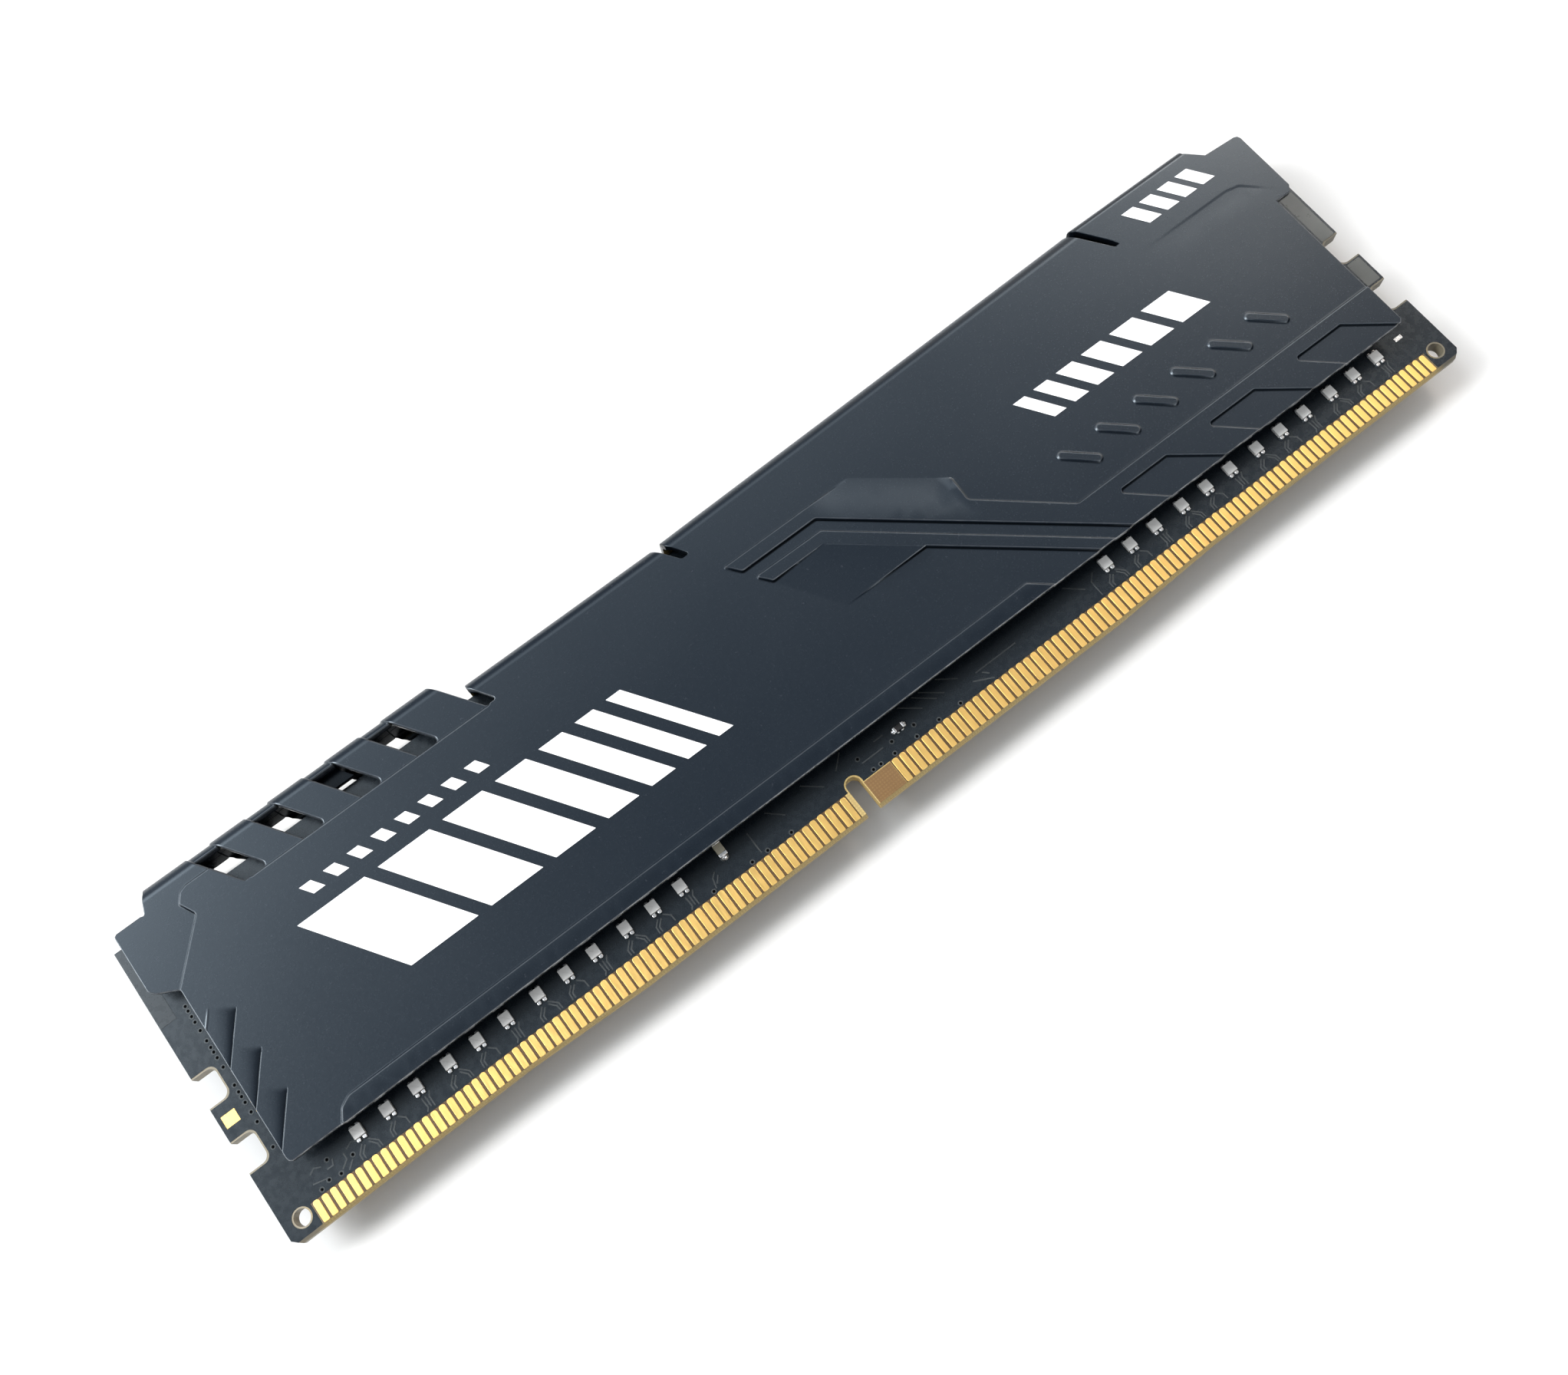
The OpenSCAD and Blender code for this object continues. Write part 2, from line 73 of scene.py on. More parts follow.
class Builder:
    """Collects vertices, faces and a normal for each face corner.

    Each vertex also has a "rim" number that the materials read: up to 1 where the surface is worn along an
    edge or carries a painted highlight, down to -1 where shade is painted into a crease, and 0 elsewhere.
    """

    def __init__(self):
        self.points, self.faces, self.normals, self.rims = [], [], [], []

    def add(self, points, rims=None):
        """Adds vertices and returns the index of the first one."""
        start = len(self.points)
        points = np.asarray(points, float)
        self.points.extend(points.tolist())
        self.rims.extend([0.0] * len(points) if rims is None else list(rims))
        return start

    def face(self, corners, normals):
        self.faces.append(tuple(int(c) for c in corners))
        self.normals.append([tuple(n) for n in normals])

    def band(self, low, high, low_normals, high_normals):
        """Quads between two closed rings of the same length, low to high."""
        count = len(low)
        for i in range(count):
            j = (i + 1) % count
            normals = (low_normals[i], low_normals[j], high_normals[j], high_normals[i])
            self.face((low[i], low[j], high[j], high[i]), normals)

    def on_front(self):
        """The same piece mirrored onto the board's front face."""
        other = Builder()
        points = np.array(self.points)
        points[:, 2] = -BOARD_T - points[:, 2]
        other.points = points.tolist()
        other.rims = list(self.rims)
        other.faces = [f[::-1] for f in self.faces]
        other.normals = [[(n[0], n[1], -n[2]) for n in reversed(ns)] for ns in self.normals]
        return other

    def make(self, name, finish, slot, nodes=()):
        """Makes the piece; nodes are the CAD nodes that it replaces."""
        mesh = bpy.data.meshes.new(name)
        mesh.from_pydata(placed(self.points).tolist(), [], self.faces)
        mesh.polygons.foreach_set("use_smooth", [True] * len(mesh.polygons))
        corner_normals = [Vector(n).normalized() for ns in self.normals for n in ns]
        mesh.normals_split_custom_set(corner_normals)
        rim = mesh.attributes.new("rim", "FLOAT", "POINT")
        rim.data.foreach_set("value", np.asarray(self.rims, np.float32))
        mesh.materials.append(finish)
        piece = bpy.data.objects.new(name, mesh)
        bpy.context.scene.collection.objects.link(piece)
        if nodes:
            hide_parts(*nodes)
        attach(piece, "root")
        return piece


UP = (0.0, 0.0, 1.0)
NEARLY_STRAIGHT = math.radians(89)
MOST_OF_SIDE = 0.48


def unit(vectors):
    """Rows scaled to length 1."""
    return vectors / np.linalg.norm(vectors, axis=1)[:, None]


def outward(outline):
    """Mitred outward vectors of a counter-clockwise outline."""
    p = np.asarray(outline, float)
    run = unit(np.roll(p, -1, axis=0) - p)
    normal = np.stack([run[:, 1], -run[:, 0]], axis=1)
    before = np.roll(normal, 1, axis=0)
    return (normal + before) / (1.0 + (normal * before).sum(axis=1))[:, None]


def rounded(corners, radius, steps=4):
    """Polygon with its corners rounded; radius is one number, or one for each corner."""
    p = np.asarray(corners, float)
    count = len(p)
    radii = np.full(count, radius, float) if np.isscalar(radius) else radius
    out = []
    for i in range(count):
        here, r = p[i], radii[i]
        a, b = p[i - 1] - here, p[(i + 1) % count] - here
        la, lb = np.linalg.norm(a), np.linalg.norm(b)
        a, b = a / la, b / lb
        half = 0.5 * math.acos(np.clip(a @ b, -1, 1))
        if r <= 0 or half > NEARLY_STRAIGHT:
            out.append(here)
            continue
        reach = min(r / math.tan(half), MOST_OF_SIDE * la, MOST_OF_SIDE * lb)
        r = reach * math.tan(half)
        centre = here + (a + b) / np.linalg.norm(a + b) * (r / math.sin(half))
        start, end = here + a * reach - centre, here + b * reach - centre
        turn = math.atan2(start[0] * end[1] - start[1] * end[0], start @ end)
        for k in range(steps + 1):
            angle = turn * k / steps
            c, s = math.cos(angle), math.sin(angle)
            out.append(centre + [c * start[0] - s * start[1], s * start[0] + c * start[1]])
    return np.array(out)


def plate(b, outline, base, top, edge, steps=3):
    """Low plate with rounded upper edges over a counter-clockwise outline."""
    p, out = np.asarray(outline, float), outward(outline)
    sides = [(*n, 0.0) for n in unit(out)]
    rings = [b.add(np.c_[p, np.full(len(p), base)], np.ones(len(p)))]
    normals = [sides]
    for k in range(steps + 1):
        angle = 0.5 * math.pi * k / steps
        inset = edge * (1 - math.cos(angle))
        height = top - edge * (1 - math.sin(angle))
        ring = np.c_[p - out * inset, np.full(len(p), height)]
        rings.append(b.add(ring, np.full(len(p), 1 - k / steps)))
        c, s = math.cos(angle), math.sin(angle)
        normals.append([(n[0] * c, n[1] * c, s) for n in sides])
    span = range(len(p))
    for k in range(len(rings) - 1):
        low = [rings[k] + i for i in span]
        high = [rings[k + 1] + i for i in span]
        b.band(low, high, normals[k], normals[k + 1])
    b.face([rings[-1] + i for i in span], [UP] * len(p))


def dome(b, u, v, half_u, half_v, base, height, around=12, rings=4):
    """Solder bead: the upper half of an ellipsoid."""
    levels = []
    for k in range(rings):
        angle = 0.5 * math.pi * k / rings
        c, s = math.cos(angle), math.sin(angle)
        points, normals = [], []
        for i in range(around):
            t = 2 * math.pi * i / around
            x, y = math.cos(t), math.sin(t)
            points.append((u + half_u * c * x, v + half_v * c * y, base + height * s))
            normals.append((c * x / half_u, c * y / half_v, s / height))
        levels.append((b.add(points), normals))
    for (low, low_n), (high, high_n) in zip(levels, levels[1:]):
        b.band(range(low, low + around), range(high, high + around), low_n, high_n)
    top = b.add([(u, v, base + height)])
    last, last_n = levels[-1]
    for i in range(around):
        j = (i + 1) % around
        b.face((last + i, last + j, top), (last_n[i], last_n[j], UP))


def ribbon(b, line, width, base, height, edge):
    """Raised track along an open line."""
    p = np.asarray(line, float)
    run = unit(np.diff(p, axis=0))
    before = np.vstack([run[:1], run])
    after = np.vstack([run, run[-1:]])
    left = np.stack([-(before + after)[:, 1], (before + after)[:, 0]], axis=1)
    left /= (1.0 + (before * after).sum(axis=1))[:, None]
    outline = np.vstack([p - left * width / 2, (p + left * width / 2)[::-1]])
    plate(b, outline, base, base + height, edge, steps=2)


# --- materials


def material(name):
    """New material, its node tree and its shader."""
    m = bpy.data.materials.new(name)
    m.use_nodes = True
    tree = m.node_tree
    return m, tree, tree.nodes["Principled BSDF"]


def node(tree, kind, **values):
    """New node with the given properties and inputs; an input's spaces are written as underscores."""
    n = tree.nodes.new(kind)
    for key, value in values.items():
        if hasattr(n, key):
            setattr(n, key, value)
        else:
            n.inputs[key.replace("_", " ")].default_value = value
    return n


def coordinates(tree, scale=(1, 1, 1)):
    """Object coordinates in millimetres, stretched by scale."""
    source = node(tree, "ShaderNodeTexCoord")
    mapping = node(tree, "ShaderNodeMapping")
    mapping.inputs["Scale"].default_value = [1000 * s for s in scale]
    tree.links.new(source.outputs["Object"], mapping.inputs["Vector"])
    return mapping.outputs["Vector"]


def noise(tree, vector, scale, detail=3.0, roughness=0.55):
    n = node(tree, "ShaderNodeTexNoise", Scale=scale, Detail=detail, Roughness=roughness)
    tree.links.new(vector, n.inputs["Vector"])
    return n.outputs["Fac"]


def ramp(tree, value, low, high, a, b, kind="LINEAR"):
    """Socket's value mapped from low..high to a..b."""
    n = node(tree, "ShaderNodeMapRange", interpolation_type=kind)
    for key, number in (("From Min", low), ("From Max", high), ("To Min", a), ("To Max", b)):
        n.inputs[key].default_value = number
    tree.links.new(value, n.inputs["Value"])
    return n.outputs["Result"]


def share(tree, value, low, high):
    """Smooth step of a socket from 0 at low to 1 at high."""
    return ramp(tree, value, low, high, 0, 1, "SMOOTHSTEP")


def mixed(tree, factor, a, b):
    """Colour a where factor is 0 and b where it is 1; a and b are colours or sockets."""
    n = node(tree, "ShaderNodeMix", data_type="RGBA")
    tree.links.new(factor, n.inputs["Factor"])
    for socket, colour in ((n.inputs[6], a), (n.inputs[7], b)):
        if isinstance(colour, tuple):
            socket.default_value = (*colour, 1)
        else:
            tree.links.new(colour, socket)
    return n.outputs[2]


def calc(tree, operation, a, b):
    """Math node on two sockets or numbers."""
    n = node(tree, "ShaderNodeMath", operation=operation)
    for i, x in enumerate((a, b)):
        if isinstance(x, (int, float)):
            n.inputs[i].default_value = x
        else:
            tree.links.new(x, n.inputs[i])
    return n.outputs[0]


def bump(tree, shader, height, strength, distance):
    """Fine relief of the shading only; distance is in millimetres."""
    n = node(tree, "ShaderNodeBump", Strength=strength)
    n.inputs["Distance"].default_value = distance * MM
    tree.links.new(height, n.inputs["Height"])
    tree.links.new(n.outputs["Normal"], shader.inputs["Normal"])


def rim_share(tree, end):
    """The meshes' rim number as a share from 0 to 1; end is 1 for worn places and painted highlights, and -1 for
    painted shade in creases.
    """
    n = node(tree, "ShaderNodeAttribute", attribute_name="rim")
    return ramp(tree, n.outputs["Fac"], 0, end, 0, 1)


def link(tree, value, shader, socket):
    tree.links.new(value, shader.inputs[socket])


def rough(tree, shader, value, smoothest, roughest):
    """Roughness that follows a noise socket."""
    link(tree, ramp(tree, value, 0.3, 0.7, smoothest, roughest), shader, "Roughness")


def coated_metal():
    """Black coat on sheet metal: worn along its edges, with painted highlights along raised edges and painted shade
    in its creases.
    """
    m, tree, shader = material("coated_metal")
    where = coordinates(tree)
    grain = noise(tree, where, 7.0, 4.0, 0.6)
    cloud = noise(tree, where, 0.06, 3.0, 0.5)
    tone = mixed(tree, ramp(tree, cloud, 0.35, 0.65, 0, 1), (0.004, 0.0072, 0.0125), (0.006, 0.0095, 0.015))
    speck = ramp(tree, noise(tree, where, 2.6, 2.0, 0.5), 0.7, 0.75, 0, 1)
    tone = mixed(tree, speck, tone, (0.016, 0.02, 0.027))
    patches = ramp(tree, noise(tree, where, 1.3, 3.0), 0.35, 0.6, 0.65, 1.0)
    # Worn bare metal along edges together with painted highlights on raised edges, both from the positive rim number
    wear_and_highlight = calc(tree, "MULTIPLY", rim_share(tree, 1), patches)
    worn = mixed(tree, ramp(tree, wear_and_highlight, 0.6, 0.9, 0, 1), (0.13, 0.14, 0.15), (0.36, 0.37, 0.38))
    # Painted shade: near-black colour with little reflection where the rim number is negative, in creases and
    # recesses
    crease = rim_share(tree, -1)
    tone = mixed(tree, crease, mixed(tree, wear_and_highlight, tone, worn), (0.0012, 0.0016, 0.0022))
    link(tree, tone, shader, "Base Color")
    link(tree, ramp(tree, crease, 0, 1, 0.5, 0.04), shader, "Specular IOR Level")
    rough(tree, shader, grain, 0.22, 0.28)
    shader.inputs["Specular Tint"].default_value = (0.8, 0.92, 1.0, 1)
    bump(tree, shader, grain, 0.3, 0.008)
    return m


def gold():
    m, tree, shader = material("contact_gold")
    where = coordinates(tree)
    brushed = noise(tree, coordinates(tree, (5.0, 0.5, 1)), 2.0, 3.0)
    tone = mixed(tree, noise(tree, where, 0.7, 3.0), (0.95, 0.6, 0.175), (1.0, 0.68, 0.235))
    link(tree, tone, shader, "Base Color")
    shader.inputs["Metallic"].default_value = 1.0
    rough(tree, shader, brushed, 0.3, 0.4)
    bump(tree, shader, brushed, 0.12, 0.003)
    return m


def solder():
    m, tree, shader = material("solder")
    where = coordinates(tree)
    tone = mixed(tree, noise(tree, where, 3.0, 3.0), (0.7, 0.71, 0.72), (0.88, 0.88, 0.87))
    link(tree, tone, shader, "Base Color")
    shader.inputs["Metallic"].default_value = 1.0
    grain = noise(tree, where, 12.0, 2.0)
    rough(tree, shader, grain, 0.2, 0.36)
    bump(tree, shader, grain, 0.2, 0.01)
    return m


def coating(name, low, high, roughness, wave_scale):
    """Black solder mask, semi-gloss, slightly uneven."""
    m, tree, shader = material(name)
    where = coordinates(tree)
    cloud = noise(tree, where, 0.3, 4.0)
    link(tree, mixed(tree, cloud, low, high), shader, "Base Color")
    wave = noise(tree, where, wave_scale, 3.0)
    rough(tree, shader, wave, *roughness)
    shader.inputs["Specular Tint"].default_value = (0.84, 0.94, 1.0, 1)
    bump(tree, shader, wave, 0.2, 0.012)
    return m


def laminate(name, low, high, stain):
    """Glass-fibre laminate: resin with a faint weave and stains from the cutter."""
    m, tree, shader = material(name)
    where = coordinates(tree)
    threads = []
    for axis in "XY":
        thread = node(tree, "ShaderNodeTexWave", bands_direction=axis, Scale=1.1, Distortion=0.6)
        thread.wave_type = "BANDS"
        tree.links.new(where, thread.inputs["Vector"])
        threads.append(thread.outputs["Fac"])
    weave = calc(tree, "MULTIPLY", *threads)
    tone = mixed(tree, weave, low, high)
    tone = mixed(tree, ramp(tree, noise(tree, where, 0.5, 4.0), 0.4, 0.7, 0, 0.6), tone, stain)
    split = node(tree, "ShaderNodeSeparateXYZ")
    tree.links.new(where, split.inputs[0])
    # Both ends of the board take a set tint: greyer at the right end, paler at the left
    for start, end, end_tint in ((63.4, 64.6, (0.13, 0.115, 0.08)), (-63.4, -64.6, (0.24, 0.21, 0.15))):
        tone = mixed(tree, ramp(tree, split.outputs["X"], start, end, 0, 1), tone, end_tint)
    link(tree, tone, shader, "Base Color")
    link(tree, ramp(tree, weave, 0, 1, 0.45, 0.6), shader, "Roughness")
    bump(tree, shader, weave, 0.2, 0.02)
    return m


def grainy(name, low, high, roughness, scale, strength=0.2, distance=0.01, grain_roughness=0.55):
    """Even, fine-grained solid colour: ceramic, moulding compound or ink."""
    m, tree, shader = material(name)
    where = coordinates(tree)
    grain = noise(tree, where, scale, 4.0, grain_roughness)
    link(tree, mixed(tree, grain, low, high), shader, "Base Color")
    rough(tree, shader, grain, *roughness)
    bump(tree, shader, grain, strength, distance)
    return m


def soft_pad(name, low, high):
    """Cellular foam or gap filler."""
    m, tree, shader = material(name)
    where = coordinates(tree)
    cells = node(tree, "ShaderNodeTexVoronoi", Scale=3.0)
    tree.links.new(where, cells.inputs["Vector"])
    distance = cells.outputs["Distance"]
    link(tree, mixed(tree, distance, low, high), shader, "Base Color")
    link(tree, ramp(tree, distance, 0, 1, 0.75, 0.95), shader, "Roughness")
    bump(tree, shader, distance, 0.4, 0.05)
    return m


METAL, GOLD, SOLDER = coated_metal(), gold(), solder()
ARRAY = grainy("array_ceramic", (0.78, 0.78, 0.76), (0.88, 0.88, 0.86), (0.35, 0.55), 8.0)
MASK = coating("solder_mask", (0.004, 0.0065, 0.01), (0.008, 0.0115, 0.015), (0.22, 0.32), 1.6)
TRACK = coating("masked_copper", (0.03, 0.034, 0.036), (0.05, 0.053, 0.052), (0.26, 0.36), 2.6)
POUR = coating("masked_pour", (0.014, 0.0155, 0.0165), (0.019, 0.02, 0.0205), (0.24, 0.32), 1.4)
# Copper under the mask at the right end, with painted reflection: much lighter than the other pour, where the glossy
# mask catches the bright surround
EDGE_POUR_SHEEN = coating("masked_edge_pour_sheen", (0.035, 0.037, 0.034), (0.1, 0.1, 0.092), (0.26, 0.42), 1.1)
# Painted shade: each via hole is a flat near-black disc with no reflection, standing in for the shade inside the
# hole
VIA_HOLE_SHADE = coating("via_hole_shade", (0.001, 0.001, 0.0012), (0.002, 0.002, 0.0022), (0.6, 0.8), 5.0)
VIA_HOLE_SHADE.node_tree.nodes["Principled BSDF"].inputs["Specular IOR Level"].default_value = 0.0
LAMINATE = laminate("laminate", (0.34, 0.25, 0.09), (0.46, 0.35, 0.14), (0.4, 0.27, 0.09))
BARE = laminate("bare_laminate", (0.145, 0.078, 0.023), (0.19, 0.104, 0.032), (0.125, 0.066, 0.019))
# Painted shade: the resin between the contact lands is much darker than the bare laminate, for the shade between
# them
SHADED_GAP = laminate("resin_gap_shaded", (0.06, 0.03, 0.004), (0.09, 0.048, 0.008), (0.05, 0.025, 0.003))
CAPACITOR = grainy("capacitor_ceramic", (0.36, 0.33, 0.25), (0.48, 0.45, 0.35), (0.3, 0.5), 6.0)
MOULD = grainy("chip_mould", (0.01, 0.01, 0.011), (0.022, 0.022, 0.024), (0.5, 0.7), 7.0, 0.35, 0.015)
INK = grainy("printed_ink", (0.86, 0.87, 0.88), (0.93, 0.93, 0.93), (0.4, 0.55), 9.0, grain_roughness=0.6)
THERMAL = soft_pad("thermal_pad", (0.2, 0.32, 0.4), (0.3, 0.42, 0.5))
FOAM = soft_pad("foam_pad", (0.09, 0.09, 0.1), (0.16, 0.16, 0.17))

# --- spreader sheet

MAIN_W = 2.65  # height of the main level
SHEET_T = 0.6
EMBOSS = 0.25
PILL_H = 0.16
BAR_DROP = 0.13
# Half widths of the sloped steps
RAMP_HALF = 0.09
PANEL_HALF = 0.1
PILL_HALF = 0.13
STEP_HALF = 0.11
BAR_HALF = 0.08
SHOULDER_HALF = 0.2
EDGE_R = 0.1  # rounding along the outline
HOLE_R = 0.2  # rounding along the windows
LIP_END_W = -0.65
LEAN = math.tan(math.radians(34))  # of the windows and slots
WINDOW_LOW, WINDOW_W, WINDOW_U, WINDOW_PITCH = 28.75, 2.4, 13.35, 6.12

# The four stretches of the rolled top edge, numbered k from the left: height of the top, where it begins,
# slope, outer radius, level
STRETCH_TOP = np.array([34.1, 32.0, 32.15, 33.5])
STRETCH_START = np.array([4.0, 38.6, 60.6, 111.4])
STRETCH_SLOPE = np.array([0.0, 0.0, 1.35 / 50.8, 0.0])
STRETCH_R = np.array([1.5, 1.5, 1.5, 0.8])
STRETCH_W = np.array([MAIN_W - EMBOSS, MAIN_W, MAIN_W, MAIN_W])


def stretch_of(u, s):
    """Which stretch of the top edge a point of the sheet belongs to."""
    u, s = np.asarray(u, float), np.asarray(s, float)
    second = u > 38.3
    third = u > 61.87 - LEAN * (np.minimum(s, 31.6) - 29.2)
    fourth = u > 114.27 - LEAN * (np.minimum(s, 33.4) - 29.15)
    return second.astype(int) + third + fourth


def top_v(k, u):
    """Height of the top edge."""
    return STRETCH_TOP[k] + (u - STRETCH_START[k]) * STRETCH_SLOPE[k]


def along_sheet(k, u, v):
    """Distance along the sheet at height v on stretch k."""
    r = STRETCH_R[k]
    start = top_v(k, u) - r
    if v <= start:
        return v
    return start + r * math.asin(min((v - start) / r, 1.0))


def lip_end(k, u):
    """Distance along the sheet at the lip's end."""
    r = STRETCH_R[k]
    return top_v(k, u) - r + r * math.pi / 2 + (STRETCH_W[k] - r - LIP_END_W)


def folded(u, s, n, k):
    """Bends the flat sheet over its top edge; n is the height above the main level."""
    r, level = STRETCH_R[k], STRETCH_W[k]
    start = top_v(k, u) - r
    off = n - (level - MAIN_W)
    turn = np.clip((s - start) / r, 0, math.pi / 2)
    past = np.maximum(s - start - r * math.pi / 2, 0)
    flat = s <= start
    v = np.where(flat, s, start + (r + off) * np.sin(turn))
    w = np.where(flat, level + off, level - r + (r + off) * np.cos(turn) - past)
    return np.stack([u, v, w], axis=1)


def side_of(k, corner, from_v, to_v, steps=8):
    """Points of a leaning cut through corner (u, v), from one height to another on stretch k."""
    line = []
    for v in np.linspace(from_v, to_v, steps):
        u = corner[0] - LEAN * (v - corner[1])
        line.append((u, along_sheet(k, u, v)))
    return line


def sheet_outline():
    """Counter-clockwise outline of the flat sheet, with the four flanges of the top edge."""
    line = [
        (3.9, 6.6), (4.0, 6.25), (4.25, 6.05), (8.9, 6.02), (9.6, 5.9), (129.3, 5.9), (129.6, 6.2),
        (129.6, 23.1), (131.3, 23.1), (131.8, 23.75), (131.8, 30.7), (131.65, 31.05), (131.3, 31.2), (127.75, 31.42),
        (126.15, 33.0), (126.05, lip_end(3, 126.05)), (111.67, lip_end(3, 111.67)),
        *side_of(3, (114.6, 29.15), 33.5, 32.7),
        (114.6, 29.27), (114.5, 29.15), (114.1, 29.15), (113.95, 29.3),
        *side_of(2, (113.95, 29.15), 32.0, 33.49),
        (111.02, lip_end(2, 111.02)), (60.8, lip_end(2, 60.8)), (60.8, 32.3), (60.95, 31.3),
        (62.22, 29.4), (62.2, 29.25), (62.05, 29.2), (61.6, 29.2), (61.42, 29.3),
        *side_of(1, (61.45, 29.2), 30.5, 31.99),
        (59.56, lip_end(1, 59.56)), (38.6, lip_end(1, 38.6)), (38.6, 31.4),
        (40.15, 29.0), (40.15, 28.85), (40.0, 28.75), (39.4, 28.75), (39.1, 28.9),
        *side_of(0, (39.2, 28.75), 32.4, 34.09),
        (35.6, lip_end(0, 35.6)), (5.3, lip_end(0, 5.3)), (5.3, 33.6), (4.62, 31.75), (4.5, 31.65),
        (4.2, 31.75), (1.75, 31.75), (1.5, 31.6), (1.45, 31.3), (1.45, 25.75), (1.6, 25.45), (1.95, 25.1),
        (3.7, 24.15), (3.9, 23.9),
    ]
    return np.array(line)


def window(i, top):
    """Leaning window with round lower corners, in sheet coordinates."""
    u, shift = WINDOW_U + WINDOW_PITCH * i, LEAN * (top - WINDOW_LOW)
    corners = [(u, WINDOW_LOW), (u + WINDOW_W, WINDOW_LOW), (u + WINDOW_W - shift, top), (u - shift, top)]
    points = list(rounded(corners, [0.3, 0.35, 0, 0]))
    right, left = points[-2:]
    across = [right + (left - right) * t for t in (0.25, 0.5, 0.75)]
    climb = np.linspace(0, 1, 9)[1:-1]
    up = [points[-3] + (right - points[-3]) * t for t in climb]
    down = [left + (points[0] - left) * t for t in climb]
    points = points[:-2] + up + [right] + across + [left] + down
    return np.array([(p[0], along_sheet(0, p[0], p[1])) for p in points])


def signed(points, polygon, block=4000):
    """Distance of each point to a polygon's boundary, positive inside."""
    a = np.asarray(polygon, float)
    b = np.roll(a, -1, axis=0)
    run = b - a
    length = (run * run).sum(axis=1)
    result = np.empty(len(points))
    for start in range(0, len(points), block):
        p = points[start : start + block]
        rel = p[:, None, :] - a[None]
        t = np.clip((rel * run).sum(axis=2) / length, 0, 1)
        gap = rel - t[..., None] * run
        near = np.sqrt((gap * gap).sum(axis=2).min(axis=1))
        below = (a[None, :, 1] <= p[:, None, 1]) != (b[None, :, 1] <= p[:, None, 1])
        rise = np.where(run[:, 1] == 0, 1.0, run[:, 1])
        cross = a[None, :, 0] + (p[:, None, 1] - a[None, :, 1]) / rise * run[None, :, 0]
        inside = (below & (cross > p[:, None, 0])).sum(axis=1) % 2 == 1
        result[start : start + block] = np.where(inside, near, -near)
    return result


OUTLINE = sheet_outline()
REAR_WINDOWS = [window(i, 33.0) for i in range(4)]
FRONT_WINDOWS = [window(i, 34.07) for i in range(4)]


def window_bar(i):
    """Part of the rolled edge above a window, set a little lower than the ribs beside it."""
    u = WINDOW_U + WINDOW_PITCH * i
    heights = (32.7, 33.0, 33.4, 33.8, 34.05)
    sides = [
        (u + x - LEAN * (v - WINDOW_LOW), along_sheet(0, u, v))
        for x, order in ((WINDOW_W, 1), (0.0, -1))
        for v in heights[::order]
    ]
    beyond = [(sides[4][0], sides[4][1] + 4.0), (sides[5][0], sides[5][1] + 4.0)]
    return np.array(sides[:5] + beyond + sides[5:])


BARS = [window_bar(i) for i in range(4)]


def gaps(points, holes):
    """Distances to the outline and to the nearest window, positive on the sheet."""
    return signed(points, OUTLINE), np.min([-signed(points, hole) for hole in holes], axis=0)


LOW_AREA = rounded(
    [(-3.0, 22.07), (-3.0, 40.0), (38.3, 40.0), (38.3, 31.0), (39.9, 29.2), (39.4, 28.66), (14.0, 28.66),
     (13.2, 29.6), (12.6, 31.65), (8.9, 31.65), (8.2, 31.4), (7.55, 30.5), (8.35, 28.85), (3.9, 24.1),
     (2.0, 22.07)],
    0.3,
)
STRIP = rounded([(8.3, 4.6), (88.2, 4.6), (84.6, 7.65), (10.9, 7.65), (9.9, 7.15)], [0, 0, 0.5, 1.3, 1.0])
OUTER_BAND = rounded(
    [(64.0, 25.95), (65.1, 24.55), (73.5, 24.55), (95.9, 5.9), (97.5, 4.6), (140.0, 4.6),
     (140.0, 10.7), (93.4, 10.7), (85.8, 17.3), (86.0, 20.0), (78.5, 26.0), (64.3, 26.0)],
    [0.25, 0.5, 0.5, 0, 0, 0, 0, 0.6, 0.5, 0.5, 0.5, 0.25],
)
INNER_BAND = rounded(
    [(66.75, 22.05), (72.6, 22.05), (92.0, 5.9), (93.5, 4.6), (95.5, 4.6), (93.9, 5.9), (73.2, 23.35),
     (66.05, 23.45), (65.8, 23.25)],
    [0.4, 0.5, 0, 0, 0, 0, 0.7, 0.25, 0.25],
)
PANEL = [(97.3, 8.9), (100.6, 5.9), (101.9, 4.6), (109.2, 4.6), (107.2, 5.9), (102.9, 9.25), (97.5, 9.25)]
PANELS = [rounded(np.array(PANEL) + [x, 0], [0.2, 0, 0, 0, 0, 0.25, 0.2]) for x in (0.0, 10.9, 21.8)]


def pill(x):
    """Raised slanted bar with round ends."""
    a, b, r = np.array([95.45 + x, 15.3]), np.array([97.9 + x, 13.05]), 0.42
    run = math.atan2(b[1] - a[1], b[0] - a[0])
    angles = np.linspace(0.5, 1.5, 9) * math.pi
    ends = [(a, run + angles), (b, run + (angles + math.pi))]
    return np.array([end + r * np.array([math.cos(t), math.sin(t)]) for end, turns in ends for t in turns])


PILLS = [pill(4.66 * i) for i in range(6)]
RAMP = np.array([(66.6, 22.3), (70.6, 16.05), (80.2, 16.05), (73.0, 22.3)])
SHOULDER_STEP = rounded(
    [(108.0, 27.05), (126.4, 27.05), (127.9, 26.7), (133.0, 21.6), (140.0, 40.0), (108.0, 40.0)],
    [0, 0.8, 0.8, 0, 0, 0],
)


def stepped(points, polygon, half=STEP_HALF):
    """1 inside a polygon and 0 outside, with a soft step of twice the half width along its boundary."""
    return smooth((signed(points, polygon) + half) / (2 * half))


